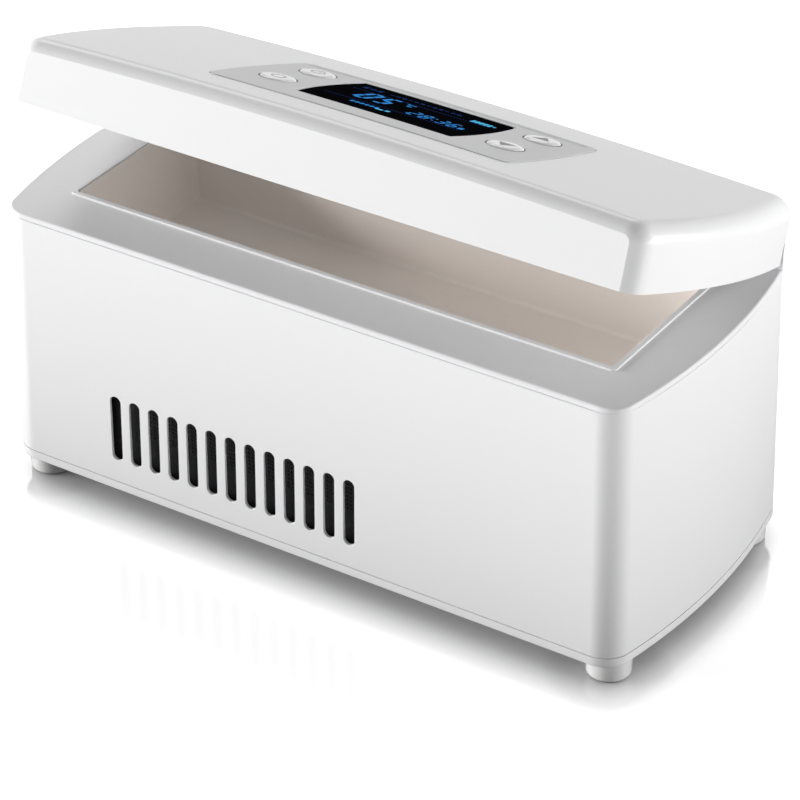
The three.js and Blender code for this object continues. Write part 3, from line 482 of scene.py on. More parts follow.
def crown(piece):
    """Bends the lid's upper part down towards both ends with a lattice"""
    depth_points = 2
    length_points = 41
    free_below = rim_z() + 9 * MM
    full_above = rim_z() + 14 * MM
    deselect()
    bpy.ops.object.add(type="LATTICE", location=(0, middle_y(), full_above))
    cage = bpy.context.active_object
    cage.scale = (case().length, 2 * case().depth, 2 * (full_above - free_below))
    cage.data.points_u = length_points
    cage.data.points_v = depth_points
    cage.data.points_w = 3
    for axis in "uvw":
        setattr(cage.data, f"interpolation_type_{axis}", "KEY_LINEAR")
    for i, point in enumerate(cage.data.points):
        share = 2 * (i % length_points) / (length_points - 1) - 1
        if i >= length_points * depth_points:
            point.co_deform.z -= lid().crown * share ** 2 / cage.scale.z
    bpy.context.view_layer.update()
    apply_modifier(piece, "LATTICE", object=cage)
    bpy.data.objects.remove(cage)


def crown_fall(x):
    return lid().crown * (2 * x / case().length) ** 2


def swing_open(piece):
    """Turns a piece that was modelled on the shut lid to the lid's place at rest"""
    y, z = hinge_axis()
    place = Matrix.Translation((0, y, z))
    piece.matrix_world = place @ Matrix.Rotation(-lid().open_angle, 4, "X") @ place.inverted() @ piece.matrix_world
    pick(piece)
    bpy.ops.object.transform_apply(location=True, rotation=True, scale=True)


def smooth(piece, weighted=True):
    pick(piece)
    bpy.ops.object.shade_smooth_by_angle(angle=math.radians(32))
    if weighted:
        apply_modifier(piece, "WEIGHTED_NORMAL", keep_sharp=True, weight=80)


def crown_and_open(piece, weighted=True):
    """Last steps of a piece in the lid's face"""
    crown(piece)
    swing_open(piece)
    smooth(piece, weighted)


def finish_piece(piece, body, material, replaces=()):
    """Gives a finished piece its material and body, and hides the frame's parts that it replaces"""
    piece.data.materials.clear()
    piece.data.materials.append(material)
    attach(piece, body)
    if replaces:
        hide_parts(*replaces)
    piece.data.name = piece.name


def finish_moulding(piece, body, material, node, edge, segments=2):
    """Rounds the edges of a moulding, opens it where it belongs to the lid, and finishes it"""
    soften(piece, edge, segments)
    if body == "lid":
        swing_open(piece)
    smooth(piece)
    finish_piece(piece, body, material, [node])


# Materials
def new_node(tree, kind, inputs=None, **settings):
    """Adds a shader node with its settings and the values of its inputs"""
    node = tree.nodes.new("ShaderNode" + kind)
    for key, value in settings.items():
        setattr(node, key, value)
    for key, value in (inputs or {}).items():
        node.inputs[key].default_value = value
    return node


def wire(tree, *runs):
    """Links nodes, each run being a node, its output, the next node and its input"""
    for source, output, target, socket in runs:
        tree.links.new(source.outputs[output], target.inputs[socket])


def pattern(tree, kind, inputs):
    """A texture on the object's own coordinates"""
    texture = new_node(tree, "Tex" + kind, inputs)
    wire(tree, (new_node(tree, "TexCoord"), "Object", texture, "Vector"))
    return texture


def emboss(tree, shader, source, output, distance, strength=1.0):
    """Raises the surface by a pattern"""
    bump = new_node(tree, "Bump", {"Distance": distance, "Strength": strength})
    wire(tree, (source, output, bump, "Height"), (bump, "Normal", shader, "Normal"))


def principled(name, inputs):
    """A new material, its node tree and its shader"""
    material = bpy.data.materials.new(name)
    material.use_nodes = True
    shader = material.node_tree.nodes["Principled BSDF"]
    for key, value in inputs.items():
        shader.inputs[key].default_value = value
    return material, material.node_tree, shader


def moulded_surface_group():
    """Shared marks of moulded plastic: cloudy gloss, a fine ripple and a little dust"""
    name = "Moulded surface"
    if name in bpy.data.node_groups:
        return bpy.data.node_groups[name]
    group = bpy.data.node_groups.new(name, "ShaderNodeTree")
    inputs = (
        ("Colour", "Color", (0.8, 0.8, 0.8, 1)), ("Roughness", "Float", 0.3), ("Cloudiness", "Float", 0.04),
        ("Grain size", "Float", 900.0), ("Grain height", "Float", 0.02), ("Dust", "Float", 0.03),
    )
    for label, kind, default in inputs:
        socket = group.interface.new_socket(label, in_out="INPUT", socket_type="NodeSocket" + kind)
        socket.default_value = default
    for label, kind in (("Colour", "Color"), ("Roughness", "Float"), ("Height", "Float")):
        group.interface.new_socket(label, in_out="OUTPUT", socket_type="NodeSocket" + kind)
    given = group.nodes.new("NodeGroupInput")
    result = group.nodes.new("NodeGroupOutput")
    clouds = pattern(group, "Noise", {"Scale": 28, "Detail": 4})
    grain = pattern(group, "Noise", {"Detail": 2})
    specks = pattern(group, "Noise", {"Scale": 420, "Detail": 3})
    centred = new_node(group, "Math", {1: 0.5}, operation="SUBTRACT")
    spread = new_node(group, "Math", operation="MULTIPLY_ADD")
    dusty = new_node(group, "MapRange", {"From Min": 0.56, "From Max": 0.74})
    amount = new_node(group, "Math", operation="MULTIPLY")
    mix = new_node(group, "Mix", {"B": (0.55, 0.53, 0.5, 1)}, data_type="RGBA")
    height = new_node(group, "Math", operation="MULTIPLY")
    wire(
        group, (given, "Grain size", grain, "Scale"),
        (clouds, "Fac", centred, 0), (centred, 0, spread, 0), (given, "Cloudiness", spread, 1),
        (given, "Roughness", spread, 2), (spread, 0, result, "Roughness"),
        (specks, "Fac", dusty, "Value"), (dusty, "Result", amount, 0), (given, "Dust", amount, 1),
        (amount, 0, mix, "Factor"), (given, "Colour", mix, "A"), (mix, "Result", result, "Colour"),
        (grain, "Fac", height, 0), (given, "Grain height", height, 1), (height, 0, result, "Height"),
    )
    return group


def plastic(name, base, roughness, coat=0.0, cloudiness=0.05, grain=900.0, height=0.02, dust=0.02, specular=0.5):
    """Moulded plastic"""
    if name in bpy.data.materials:
        return bpy.data.materials[name]
    material, tree, shader = principled(
        name, {"Specular IOR Level": specular, "Coat Weight": coat, "Coat Roughness": 0.06}
    )
    surface = new_node(tree, "Group", {
        "Colour": (*base, 1), "Roughness": roughness, "Cloudiness": cloudiness,
        "Grain size": grain, "Grain height": height, "Dust": dust,
    }, node_tree=moulded_surface_group())
    wire(tree, (surface, "Colour", shader, "Base Color"), (surface, "Roughness", shader, "Roughness"))
    emboss(tree, shader, surface, "Height", 0.1 * MM)
    return material


def metal(name, base, roughness, stretch):
    """Bare metal with fine drawn lines along one axis"""
    material, tree, shader = principled(name, {"Base Color": (*base, 1), "Metallic": 1})
    scaled = new_node(tree, "Mapping", {"Scale": stretch})
    lines = new_node(tree, "TexNoise", {"Scale": 1200, "Detail": 3})
    shade = new_node(tree, "MapRange", {"To Min": roughness - 0.08, "To Max": roughness + 0.12})
    wire(
        tree, (new_node(tree, "TexCoord"), "Object", scaled, "Vector"), (scaled, "Vector", lines, "Vector"),
        (lines, "Fac", shade, "Value"), (shade, "Result", shader, "Roughness"),
    )
    emboss(tree, shader, lines, "Fac", 0.02 * MM, 0.25)
    return material


def lit_segment(name, base):
    """A lit segment of the display: glowing film with a fine dot pattern"""
    material, tree, shader = principled(name, {
        "Base Color": (0.01, 0.01, 0.012, 1), "Specular IOR Level": 0, "Emission Strength": 1, "Roughness": 0.15,
    })
    dots = pattern(tree, "Voronoi", {"Scale": 2600})
    fade = new_node(tree, "MapRange", {"From Max": 0.8, "To Min": 1.0, "To Max": 0.8})
    tint = new_node(tree, "Mix", data_type="RGBA", blend_type="MULTIPLY", inputs={"Factor": 1, "A": (*base, 1)})
    wire(
        tree, (dots, "Distance", fade, "Value"), (fade, "Result", tint, "B"),
        (tint, "Result", shader, "Emission Color"),
    )
    return material


def foam_material():
    """Pale closed foam with round cells"""
    material, tree, shader = principled("Closed foam", {})
    cells = pattern(tree, "Voronoi", {"Scale": 420})
    shade = new_node(tree, "MapRange", {"To Min": 0.72, "To Max": 0.9})
    mix = new_node(tree, "Mix", {"A": (0.62, 0.66, 0.7, 1), "B": (0.8, 0.83, 0.86, 1)}, data_type="RGBA")
    wire(
        tree, (cells, "Distance", mix, "Factor"), (mix, "Result", shader, "Base Color"),
        (cells, "Distance", shade, "Value"), (shade, "Result", shader, "Roughness"),
    )
    emboss(tree, shader, cells, "Distance", 0.3 * MM)
    return material


def board_material():
    """Green circuit board with straight copper runs under the varnish"""
    material, tree, shader = principled("Circuit board", {})
    runs = pattern(tree, "Brick", {
        "Scale": 90, "Mortar Size": 0.06, "Color1": (0.012, 0.09, 0.035, 1), "Color2": (0.016, 0.12, 0.045, 1),
        "Mortar": (0.05, 0.2, 0.08, 1),
    })
    noise = pattern(tree, "Noise", {"Scale": 300})
    shade = new_node(tree, "MapRange", {"To Min": 0.3, "To Max": 0.5})
    wire(
        tree, (runs, "Color", shader, "Base Color"), (noise, "Fac", shade, "Value"),
        (shade, "Result", shader, "Roughness"),
    )
    return material


def white_gloss():
    return plastic(
        "White gloss plastic", finishes().white, 0.3, coat=0.12, height=0.012, grain=500, dust=0.012, specular=0.3
    )


def black_matte():
    return plastic("Black plastic", finishes().screen, 0.55, height=0.08, grain=1800, dust=0.03)


# Pieces of the case
class CASE_OT_shell(bpy.types.Operator):
    """Walls of the case with their vent slots and the hole for the power inlet"""

    bl_idname = "cooling_case.shell"
    bl_label = "Outer shell"

    def execute(self, context):
        sizes = case()
        bottom = sizes.base_band + sizes.seam / 2
        walls = plan_block(
            "shell_walls", case_plan(), (flare_at(bottom), above_base(bottom)), (0, above_base(sizes.shell_top))
        )
        select_faces(walls, lambda centre, normal: abs(normal.z) > 0.9)
        bpy.ops.mesh.delete(type="ONLY_FACE")
        leave()
        apply_modifier(walls, "SOLIDIFY", thickness=sizes.wall, offset=-1, use_even_offset=True)
        combine(walls, slot_pocket())
        combine(walls, slot_cutters())
        inlet_z = middle_of("dc_jack")[2]
        combine(walls, rod(
            "inlet_hole", (sizes.jack_x, middle_y() + sizes.depth / 2, inlet_z),
            sizes.jack_hole, sizes.depth / 2, axis=1,
        ))
        finish_moulding(walls, "case", white_gloss(), "outer_shell", edge=0.22 * MM)
        return {"FINISHED"}


def slot_cutters():
    """One slot with round ends through both walls, repeated along the row"""
    sizes = case()
    width = sizes.slot_width
    first = sizes.slots_from_end - sizes.length / 2 - sizes.slot_pitch * (sizes.slots - 1) / 2
    slot = rounded_block(
        "slot_cutters", (first - width / 2, middle_y() - sizes.depth, above_base(sizes.slot_bottom)),
        (first + width / 2, middle_y() + sizes.depth, above_base(sizes.slot_top)),
        width / 2 - SLACK, axis=1, segments=12,
    )
    repeat(slot, sizes.slots, (sizes.slot_pitch, 0, 0))
    return slot


def slot_pocket():
    """Thins both long walls from inside round the row of slots"""
    sizes = case()
    middle = sizes.slots_from_end - sizes.length / 2
    half = sizes.slot_pitch * sizes.slots / 2
    margin = sizes.slot_width / 2
    face = sizes.depth / 2 - flare_at((sizes.slot_bottom + sizes.slot_top) / 2) - sizes.slot_edge
    return block(
        "pocket", (middle - half - margin, middle_y() - face, above_base(sizes.slot_bottom) - margin),
        (middle + half + margin, middle_y() + face, above_base(sizes.slot_top) + margin),
    )


class CASE_OT_screens(bpy.types.Operator):
    """Black woven screens behind both rows of slots"""

    bl_idname = "cooling_case.screens"
    bl_label = "Vent screens"

    def execute(self, context):
        pitch, thread, thread_share = 1.25 * MM, 0.36 * MM, 0.4
        for node, side in (("vent_screen_front", -1), ("vent_screen_rear", 1)):
            low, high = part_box(node)
            face = low[1] if side < 0 else high[1]
            inner = face - side * (high[1] - low[1]) * thread_share
            columns, rows = (int((high[axis] - low[axis]) / pitch) for axis in (0, 2))
            x = (low[0] + high[0]) / 2 - columns * pitch / 2
            z = (low[2] + high[2]) / 2 - rows * pitch / 2

            def meets_next(centre, normal):
                near = (abs(centre.x - x), abs(centre.x - x - pitch), abs(centre.z - z), abs(centre.z - z - pitch))
                return abs(normal.y) < 0.1 and min(near) < SLACK

            tile = block("tile", (x, min(face, inner), z), (x + pitch, max(face, inner), z + pitch))
            select_faces(tile, lambda centre, normal: abs(normal.y) > 0.9)
            bpy.ops.mesh.inset(thickness=thread)
            bpy.ops.mesh.bridge_edge_loops()
            leave()
            select_faces(tile, meets_next)
            bpy.ops.mesh.delete(type="FACE")
            leave()
            repeat(tile, columns, (pitch, 0, 0), use_merge_vertices=True)
            repeat(tile, rows, (0, 0, pitch), use_merge_vertices=True)
            outwards(tile)
            tile.name = node.replace("vent", "woven")
            smooth(tile, weighted=False)
            finish_piece(tile, "case", black_matte(), [node])
        return {"FINISHED"}


class CASE_OT_base(bpy.types.Operator):
    """Base cover with its edge band, air intake and screw recesses"""

    bl_idname = "cooling_case.base"
    bl_label = "Base cover"

    def execute(self, context):
        sizes = case()
        low = above_base(0)
        top = sizes.base_band - sizes.seam / 2
        base = plan_block("base_pan", case_plan(), (flare_at(0), low), (flare_at(top), above_base(top)))
        round_rim(base, facing_down, sizes.base_edge, 4)
        recess_depth, floor_top, lip_top = 1.6 * MM, above_base(2.5 * MM), above_base(5 * MM)
        for i in range(4):
            x, y, _ = middle_of(f"base_screw_{i + 1}")
            combine(base, rod("screw_recess", (x, y, low), SCREW_HEAD, 2 * recess_depth))
        combine(base, level_block("lip", sizes.wall + LIP_FIT, above_base(2 * MM), lip_top), "UNION")
        combine(base, level_block("room", sizes.wall + 2 * MM, floor_top, lip_top + MM))
        first = middle_of("fan_frame")[0] - sizes.intake_pitch * (sizes.intakes - 1) / 2
        side, half = sizes.intake_width / 2, sizes.intake_length / 2
        slot = rounded_block(
            "intake", (first - side, middle_y() - half, low - 5 * MM),
            (first + side, middle_y() + half, low + 5.5 * MM), side - SLACK, segments=10,
        )
        repeat(slot, sizes.intakes, (sizes.intake_pitch, 0, 0))
        combine(base, slot)
        finish_moulding(base, "case", white_gloss(), "base_cover", edge=0.15 * MM)
        return {"FINISHED"}


class CASE_OT_feet(bpy.types.Operator):
    """Four round feet with a rounded tread and a hollow below"""

    bl_idname = "cooling_case.feet"
    bl_label = "Feet"

    def execute(self, context):
        sizes = case()
        rubber = plastic("Foot rubber", (0.86, 0.86, 0.855), 0.25, coat=0.5, height=0.02, grain=1500)
        gap_to_base = 0.05 * MM
        top = above_base(-gap_to_base)
        share = sizes.foot_radius / sizes.foot_low_radius
        for node in ("foot_front_left", "foot_front_right", "foot_rear_left", "foot_rear_right"):
            x, y, _ = middle_of(node)
            foot = rod(node.replace("foot", "tread"), (x, y, top / 2), sizes.foot_low_radius, top, sides=64)
            select_faces(foot, facing_up)
            bpy.ops.transform.resize(value=(share, share, 1), center_override=(x, y, top))
            leave()
            round_rim(foot, facing_down, sizes.foot_edge, 6)
            combine(foot, rod("hollow", (x, y, 0), sizes.foot_low_radius / 2, sizes.foot_edge))
            smooth(foot)
            finish_piece(foot, "case", rubber, [node])
        return {"FINISHED"}


class CASE_OT_deck(bpy.types.Operator):
    """Deck with the lip round the well and the riser that carries the hinge"""

    bl_idname = "cooling_case.deck"
    bl_label = "Deck and hinge riser"

    def execute(self, context):
        sizes, hinge = case(), lid()
        bottom = above_base(sizes.shell_top + sizes.seam)
        top = above_base(sizes.deck_top)
        deck = level_block("deck", 0, bottom, top)
        round_top(deck, top, sizes.deck_round, 5)
        y, z = hinge_axis()
        reach = sizes.length / 2 + 5 * MM
        riser = rounded_block(
            "riser", (-reach, y - hinge.knuckle, bottom - 4 * MM), (reach, y + hinge.knuckle, z + hinge.knuckle),
            hinge.knuckle - SLACK, axis=0, segments=12,
        )
        combine(riser, level_block("outline", 0, bottom + 0.4 * MM, z + 10 * MM), "INTERSECT")
        side_gap, bore_length = 0.4 * MM, 30.6 * MM
        half = hinge.knuckle_width / 2 + side_gap
        for x in knuckle_places():
            combine(riser, block("notch", (x - half, y - 5 * MM, top), (x + half, y + 5 * MM, z + 5 * MM)))
            combine(riser, rod("bore", (x, y, z), PIN_RADIUS, bore_length, axis=0, sides=32))
        combine(deck, riser, "UNION")
        lip_top = top + sizes.lip_height
        combine(deck, well_block("lip", sizes.lip_width, bottom + 0.6 * MM, lip_top, sizes.lip_width), "UNION")
        combine(deck, level_block("skirt", sizes.wall + LIP_FIT, bottom - 5 * MM, bottom + 0.5 * MM), "UNION")
        combine(deck, level_block("hollow", sizes.wall + 1.9 * MM, bottom - 6 * MM, bottom - 0.6 * MM))
        mouth_corner = 0.8 * MM
        combine(deck, well_block("mouth", 0, bottom - 10 * MM, top + 5 * MM, mouth_corner))
        # A little darker than the case's white: painted shade for the lid's shadow on the deck
        white = plastic("Deck plastic", finishes().deck, 0.36, height=0.03, grain=1600, specular=0.3)
        finish_moulding(deck, "case", white, "top_bezel", edge=0.2 * MM, segments=3)
        return {"FINISHED"}


class CASE_OT_liner(bpy.types.Operator):
    """Thin moulded tub of the storage well"""

    bl_idname = "cooling_case.liner"
    bl_label = "Well liner"

    def execute(self, context):
        sizes = case()
        lip_top = sizes.deck_top + sizes.lip_height
        tub = well_block(
            "well_tub", -(sizes.liner_gap + sizes.liner_wall), above_base(lip_top - sizes.well_height),
            above_base(lip_top - sizes.liner_wall), sizes.well_corner,
        )
        round_rim(tub, facing_down, sizes.well_corner * 0.75, 6)
        select_faces(tub, facing_up)
        bpy.ops.mesh.delete(type="FACE")
        leave()
        edit(tub)
        bpy.ops.mesh.normals_make_consistent(inside=False)
        leave()
        apply_modifier(tub, "SOLIDIFY", thickness=sizes.liner_wall, offset=1, use_even_offset=True)
        outwards(tub)
        smooth(tub)
        cream = plastic("Liner plastic", finishes().liner, 0.4, height=0.04, grain=1500, cloudiness=0.08)
        finish_piece(tub, "case", cream, ["storage_liner"])
        return {"FINISHED"}


class CASE_OT_inlet(bpy.types.Operator):
    """Round power inlet in the rear wall"""

    bl_idname = "cooling_case.inlet"
    bl_label = "Power inlet"

    def execute(self, context):
        low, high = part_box("dc_jack")
        x, _, z = middle_of("dc_jack")
        face = high[1]
        nose_stands_out, nose_length, nose_radius = 1.6 * MM, 6 * MM, 4 * MM
        bore_depth, bore_radius = 9 * MM, 3.15 * MM
        pin_length, pin_radius, pin_middle = 9.5 * MM, 1 * MM, face - 6.5 * MM
        body = block("inlet_body", low, (high[0], face - nose_stands_out, high[2]))
        combine(body, rod("nose", (x, face - nose_length / 2, z), nose_radius, nose_length, axis=1), "UNION")
        combine(body, rod("bore", (x, face, z), bore_radius, 2 * bore_depth, axis=1))
        combine(body, rod("pin", (x, pin_middle, z), pin_radius, pin_length, axis=1, sides=24), "UNION")
        finish_moulding(body, "case", black_matte(), "dc_jack", edge=0.2 * MM)
        return {"FINISHED"}


# Pieces of the lid
def lid_block(name, inset, bottom, top, radius):
    """A solid on the lid's outline with a rounded top edge"""
    sizes = lid()
    piece = plan_block(
        name, case_plan(), (sizes.inset + inset, rim_z() + bottom),
        (sizes.inset + sizes.draft + inset, rim_z() + top),
    )
    round_top(piece, rim_z() + top, radius, 10)
    return piece


def riser_room(margin):
    """The room that the riser needs in the shut lid, and behind it as the lid swings up"""
    y, z = hinge_axis()
    clear = lid().knuckle + lid().gap + margin
    reach = case().length / 2 + 8 * MM
    back = middle_y() + case().depth / 2 + 8 * MM
    room = rod("riser_room", (0, y, z), clear, 2 * reach, axis=0, sides=64)
    combine(room, block("below", (-reach, y - clear, rim_z() - 5 * MM), (reach, back, z)), "UNION")
    combine(room, block("behind", (-reach, y, rim_z() - 4 * MM), (reach, back + MM, z + clear)), "UNION")
    return room


def panel_plan():
    sizes = panel()
    y = lid_front_y() + sizes.from_front + sizes.depth / 2
    return Plan(sizes.length, sizes.depth, sizes.bulge, sizes.corner, y)


def glass_plan():
    sizes = panel()
    y = lid_front_y() + sizes.glass_from_front + sizes.glass_depth / 2
    return Plan(sizes.glass_length, sizes.glass_depth, sizes.glass_bulge, sizes.glass_corner, y)


def glass_block(name, low, high):
    return plan_block(name, glass_plan(), low, high, corner_steps=4, end_steps=14)


def button_places():
    """Name, x and y of each button on the shut lid"""
    sizes = panel()
    front = lid_front_y() + sizes.button_front
    back = front + sizes.button_pitch
    return zip(BUTTONS, (-sizes.button_x, sizes.button_x) * 2, (front, front, back, back))


def cut_front_flat(shell):
    """Sets the flat front a little into the rounded edges, which leaves a crisp line round it"""
    sizes = lid()
    front = lid_front_y() + sizes.inset + sizes.front_flat
    reach = case().length / 2
    tool = block("front_flat", (-reach, front - 5 * MM, rim_z() - 5 * MM), (reach, front, rim_z() + 30 * MM))
    edit(tool)
    bpy.ops.transform.rotate(
        value=math.atan2(sizes.draft, sizes.height), orient_axis="X", center_override=(0, front, rim_z())
    )
    leave()
    combine(shell, tool)


class CASE_OT_lid(bpy.types.Operator):
    """Crowned lid with a rounded top edge, the panel's recess and two hinge knuckles"""

    bl_idname = "cooling_case.lid"
    bl_label = "Lid shell"

    def execute(self, context):
        sizes = lid()
        wall_at_riser, web_height, button_hole = 1.6 * MM, 4.4 * MM, 6 * MM
        window_length, window_depth = 46 * MM, 30 * MM
        shell = lid_block("lid_cover", 0, 0, sizes.height, sizes.edge)
        inside = lid_block("inside", sizes.wall, -2 * MM, sizes.height - sizes.wall, sizes.edge - sizes.wall)
        combine(inside, riser_room(wall_at_riser))
        combine(shell, inside)
        combine(shell, riser_room(0))
        y, z = hinge_axis()
        half = sizes.knuckle_width / 2
        for x in knuckle_places():
            knuckle = rod("knuckle", (x, y, z), sizes.knuckle, sizes.knuckle_width, axis=0, sides=40)
            combine(knuckle, block(
                "web", (x - half, y - sizes.knuckle, z),
                (x + half, y + sizes.knuckle - wall_at_riser, z + web_height),
            ), "UNION")
            combine(knuckle, rod("bore", (x, y, z), PIN_RADIUS, 40 * MM, axis=0, sides=32))
            combine(shell, knuckle, "UNION")
        face = lid_face_z()
        combine(shell, plan_block(
            "recess", panel_plan(), (0, face - panel().recess), (0, face + MM), corner_steps=8, end_steps=16
        ))
        combine(shell, plan_block(
            "window", glass_plan()._replace(length=window_length, depth=window_depth),
            (0, face - 5 * MM), (0, face + MM), corner_steps=3, end_steps=10,
        ))
        for name, x, place_y in button_places():
            combine(shell, rod("hole", (x, place_y, face), button_hole, 10 * MM))
        soften(shell, 0.18 * MM)
        cut_front_flat(shell)
        slice_across(shell, 95 * MM)
        front = lid_front_y() + 2 * MM
        select_faces(shell, lambda centre, normal: normal.y < -0.99 and centre.y < front)
        bpy.ops.mesh.region_to_loop()
        bpy.ops.mesh.mark_sharp()
        leave()
        crown_and_open(shell)
        finish_piece(shell, "lid", white_gloss(), ["lid_shell"])
        return {"FINISHED"}


class CASE_OT_lid_underside(bpy.types.Operator):
    """Liner, plug and soft seal under the lid"""

    bl_idname = "cooling_case.lid_underside"
    bl_label = "Lid underside"

    def execute(self, context):
        sizes = lid()
        low = rim_z() + sizes.liner_rise
        side_gap, riser_gap = 0.6 * MM, 1.9 * MM
        plug_inset, plug_corner, plug_edge = 3 * MM, 4 * MM, 1.2 * MM
        head_depth, screw_hole = 0.8 * MM, 1.7 * MM
        liner = level_block("lid_underplate", sizes.inset + sizes.wall + side_gap, low, low + sizes.liner_thick)
        plug = well_block("plug", -plug_inset, low - sizes.plug, low + MM, plug_corner)
        round_rim(plug, facing_down, plug_edge, 5)
        combine(liner, plug, "UNION")
        combine(liner, riser_room(riser_gap))
        screw_x = case().length / 2 - 9 * MM
        screw_y = case().depth / 2 - 24.3 * MM
        for along, across in ((-1, -1), (1, -1), (1, 1), (-1, 1)):
            place = (along * screw_x, middle_y() + across * screw_y, low)
            combine(liner, rod("recess", place, SCREW_HEAD, 2 * head_depth))
            combine(liner, rod("hole", place, screw_hole, 12 * MM, sides=24))
        satin = plastic("White satin plastic", finishes().white, 0.42, height=0.03, grain=1400)
        finish_moulding(liner, "lid", satin, "lid_liner", edge=0.2 * MM)

        beside_lip = case().lip_width + side_gap
        width, inner_corner = 2.4 * MM, 2.7 * MM
        gasket = well_block(
            "lid_gasket", beside_lip + width, rim_z() - 0.2 * MM, low - 0.3 * MM, inner_corner + width
        )
        combine(gasket, well_block("hole", beside_lip, rim_z() - 3 * MM, rim_z() + 5 * MM, inner_corner))
        rubber = plastic("Seal rubber", (0.62, 0.62, 0.61), 0.6, height=0.1, grain=1800, dust=0.05)
        finish_moulding(gasket, "lid", rubber, "lid_seal", edge=0.5 * MM, segments=5)
        return {"FINISHED"}


class CASE_OT_panel(bpy.types.Operator):
    """Silver control panel with a sloped rim round the display, two fine lines and the buttons' holes"""

    bl_idname = "cooling_case.panel"
    bl_label = "Control panel"

    def execute(self, context):
        sizes = panel()
        face = lid_face_z() + sizes.proud
        thickness = 1.2 * MM
        plate = plan_block(
            "panel_plate", panel_plan(), (sizes.gap, face - thickness), (sizes.gap, face),
            corner_steps=10, end_steps=20,
        )
        round_top(plate, face, 0.15 * MM, 3)
        combine(plate, glass_block("glass", (0, face - 3 * MM), (0, face + 3 * MM)))
        combine(plate, glass_block("rim", (-SLACK, face - sizes.rim), (-sizes.rim, face + 0.02 * MM)))
        for name, x, y in button_places():
            combine(plate, rod("hole", (x, y, face), sizes.button_radius + sizes.gap_shade_width, 4 * MM, sides=64))
        back = panel_plan().y + sizes.depth / 2 - sizes.gap
        line_reach, line_pitch, line_half, line_depth = sizes.length / 2 - 4 * MM, 1.3 * MM, 0.2 * MM, 0.12 * MM
        for i in (1, 2):
            y = back - line_pitch * i
            combine(plate, block(
                "line", (-line_reach, y - line_half, face - line_depth), (line_reach, y + line_half, face + MM)
            ))
        soften(plate, 0.06 * MM, angle=60)
        slice_across(plate, 45 * MM)
        crown_and_open(plate)
        silver = plastic("Panel silver", finishes().panel, 0.36, height=0.04, grain=2400, specular=0.3)
        finish_piece(plate, "lid", silver, ["control_panel"])
        return {"FINISHED"}


class CASE_OT_display(bpy.types.Operator):
    """Black display window with its lit digits, bars and battery shape"""

    bl_idname = "cooling_case.display"
    bl_label = "Display"

    def execute(self, context):
        sizes = panel()
        face = lid_face_z() + sizes.proud
        window = glass_block("display_glass", (sizes.gap, face - sizes.glass_thick), (sizes.gap, face))
        round_top(window, face, 0.12 * MM, 2)
        slice_across(window, 20 * MM)
        crown_and_open(window)
        glass = plastic(
            "Display glass", finishes().glass, 0.06, height=0.0, cloudiness=0.02, dust=0.001, specular=0.0
        )
        finish_piece(window, "lid", glass, ["display_window"])

        boxes = []
        for value, x in ((0, -12.6), (5, -6.8)):
            boxes += digit(value, x, 1.6, 3.0, 9.6, 1.15)
        boxes += [(-2.6, 5.9, 0.8, 0.8, 45), (-0.9, 5.6, 1.5, 0.45, 0), (-1.6, 4.2, 0.45, 2.6, 0)]
        boxes += [(-0.9, 2.9, 1.5, 0.45, 0)]
        for value, x in ((2, 4.6), (8, 8.1), (3, 13.2), (6, 16.7)):
            boxes += digit(value, x, -3.4, 1.8, 5.2, 0.55)
        boxes += [(10.7, -2.0, 0.6, 0.6, 0), (10.7, -4.8, 0.6, 0.6, 0), (19.4, -4.6, 1.4, 2.2, 0)]
        boxes += [(-10.5 + 1.5 * i, -10.2, 0.9, 1.7, -7) for i in range(6)]
        lit_boxes("display_digits", boxes, lit_segment("Lit segment", finishes().lit))
        boxes = [(15.2 + 1.25 * i, 9.4, 0.9, 2.8, 0) for i in range(5)] + [(21.6, 9.4, 0.5, 1.4, 0)]
        boxes += [(-1.6, -11.2, 2.2, 1.2, 0), (0.6, -10.6, 1.2, 1.6, 0)]
        lit_boxes("display_bar", boxes, lit_segment("Bright segment", finishes().lit_bright))
        boxes = [(-20.6 + 0.92 * i, y, 0.5, 0.42, 0) for y in (7.0, -7.4) for i in range(45)]
        boxes += [(-19.5, 11.6, 1.4, 2.6, 0), (-17.3, 11.6, 1.6, 1.4, 45), (-15.1, 11.6, 1.2, 2.4, 0)]
        boxes += [(-11.2 + 1.9 * i, 11.4, 1.2, 0.5 + 0.5 * (i % 3), 20 * (i % 4)) for i in range(12)]
        lit_boxes("display_faint", boxes, lit_segment("Dim segment", finishes().lit_dim))
        return {"FINISHED"}


def lit_boxes(name, boxes, material):
    """Thin raised boxes, each given in millimetres and degrees on the glass: x, y, length, depth and turn"""
    rise = 0.03
    face = lid_face_z() + panel().proud
    middle = glass_plan().y
    made = []
    for x, y, wide, deep, turn in boxes:
        deselect()
        bpy.ops.mesh.primitive_cube_add(
            size=1, location=(x * MM, middle + y * MM, face), rotation=(0, 0, math.radians(turn)),
            scale=(wide * MM, deep * MM, 2 * rise * MM),
        )
        made.append(added(name))
    deselect()
    for piece in made:
        piece.select_set(True)
    whole = made[0]
    bpy.context.view_layer.objects.active = whole
    bpy.ops.object.join()
    whole.name = name
    select_edges(whole, axis=2)
    bpy.ops.mesh.bevel(offset=0.12 * MM, segments=2)
    leave()
    crown_and_open(whole, weighted=False)
    finish_piece(whole, "lid", material)


DIGIT_BARS = {
    "top": (0, 1), "middle": (0, 0), "bottom": (0, -1),
    "top_left": (-1, 0.5), "top_right": (1, 0.5), "low_left": (-1, -0.5), "low_right": (1, -0.5),
}
DIGITS = {
    0: ("top", "bottom", "top_left", "top_right", "low_left", "low_right"),
    2: ("top", "middle", "bottom", "top_right", "low_left"),
    3: ("top", "middle", "bottom", "top_right", "low_right"),
    5: ("top", "middle", "bottom", "top_left", "low_right"),
    6: ("top", "middle", "bottom", "top_left", "low_left", "low_right"),
    8: tuple(DIGIT_BARS),
}


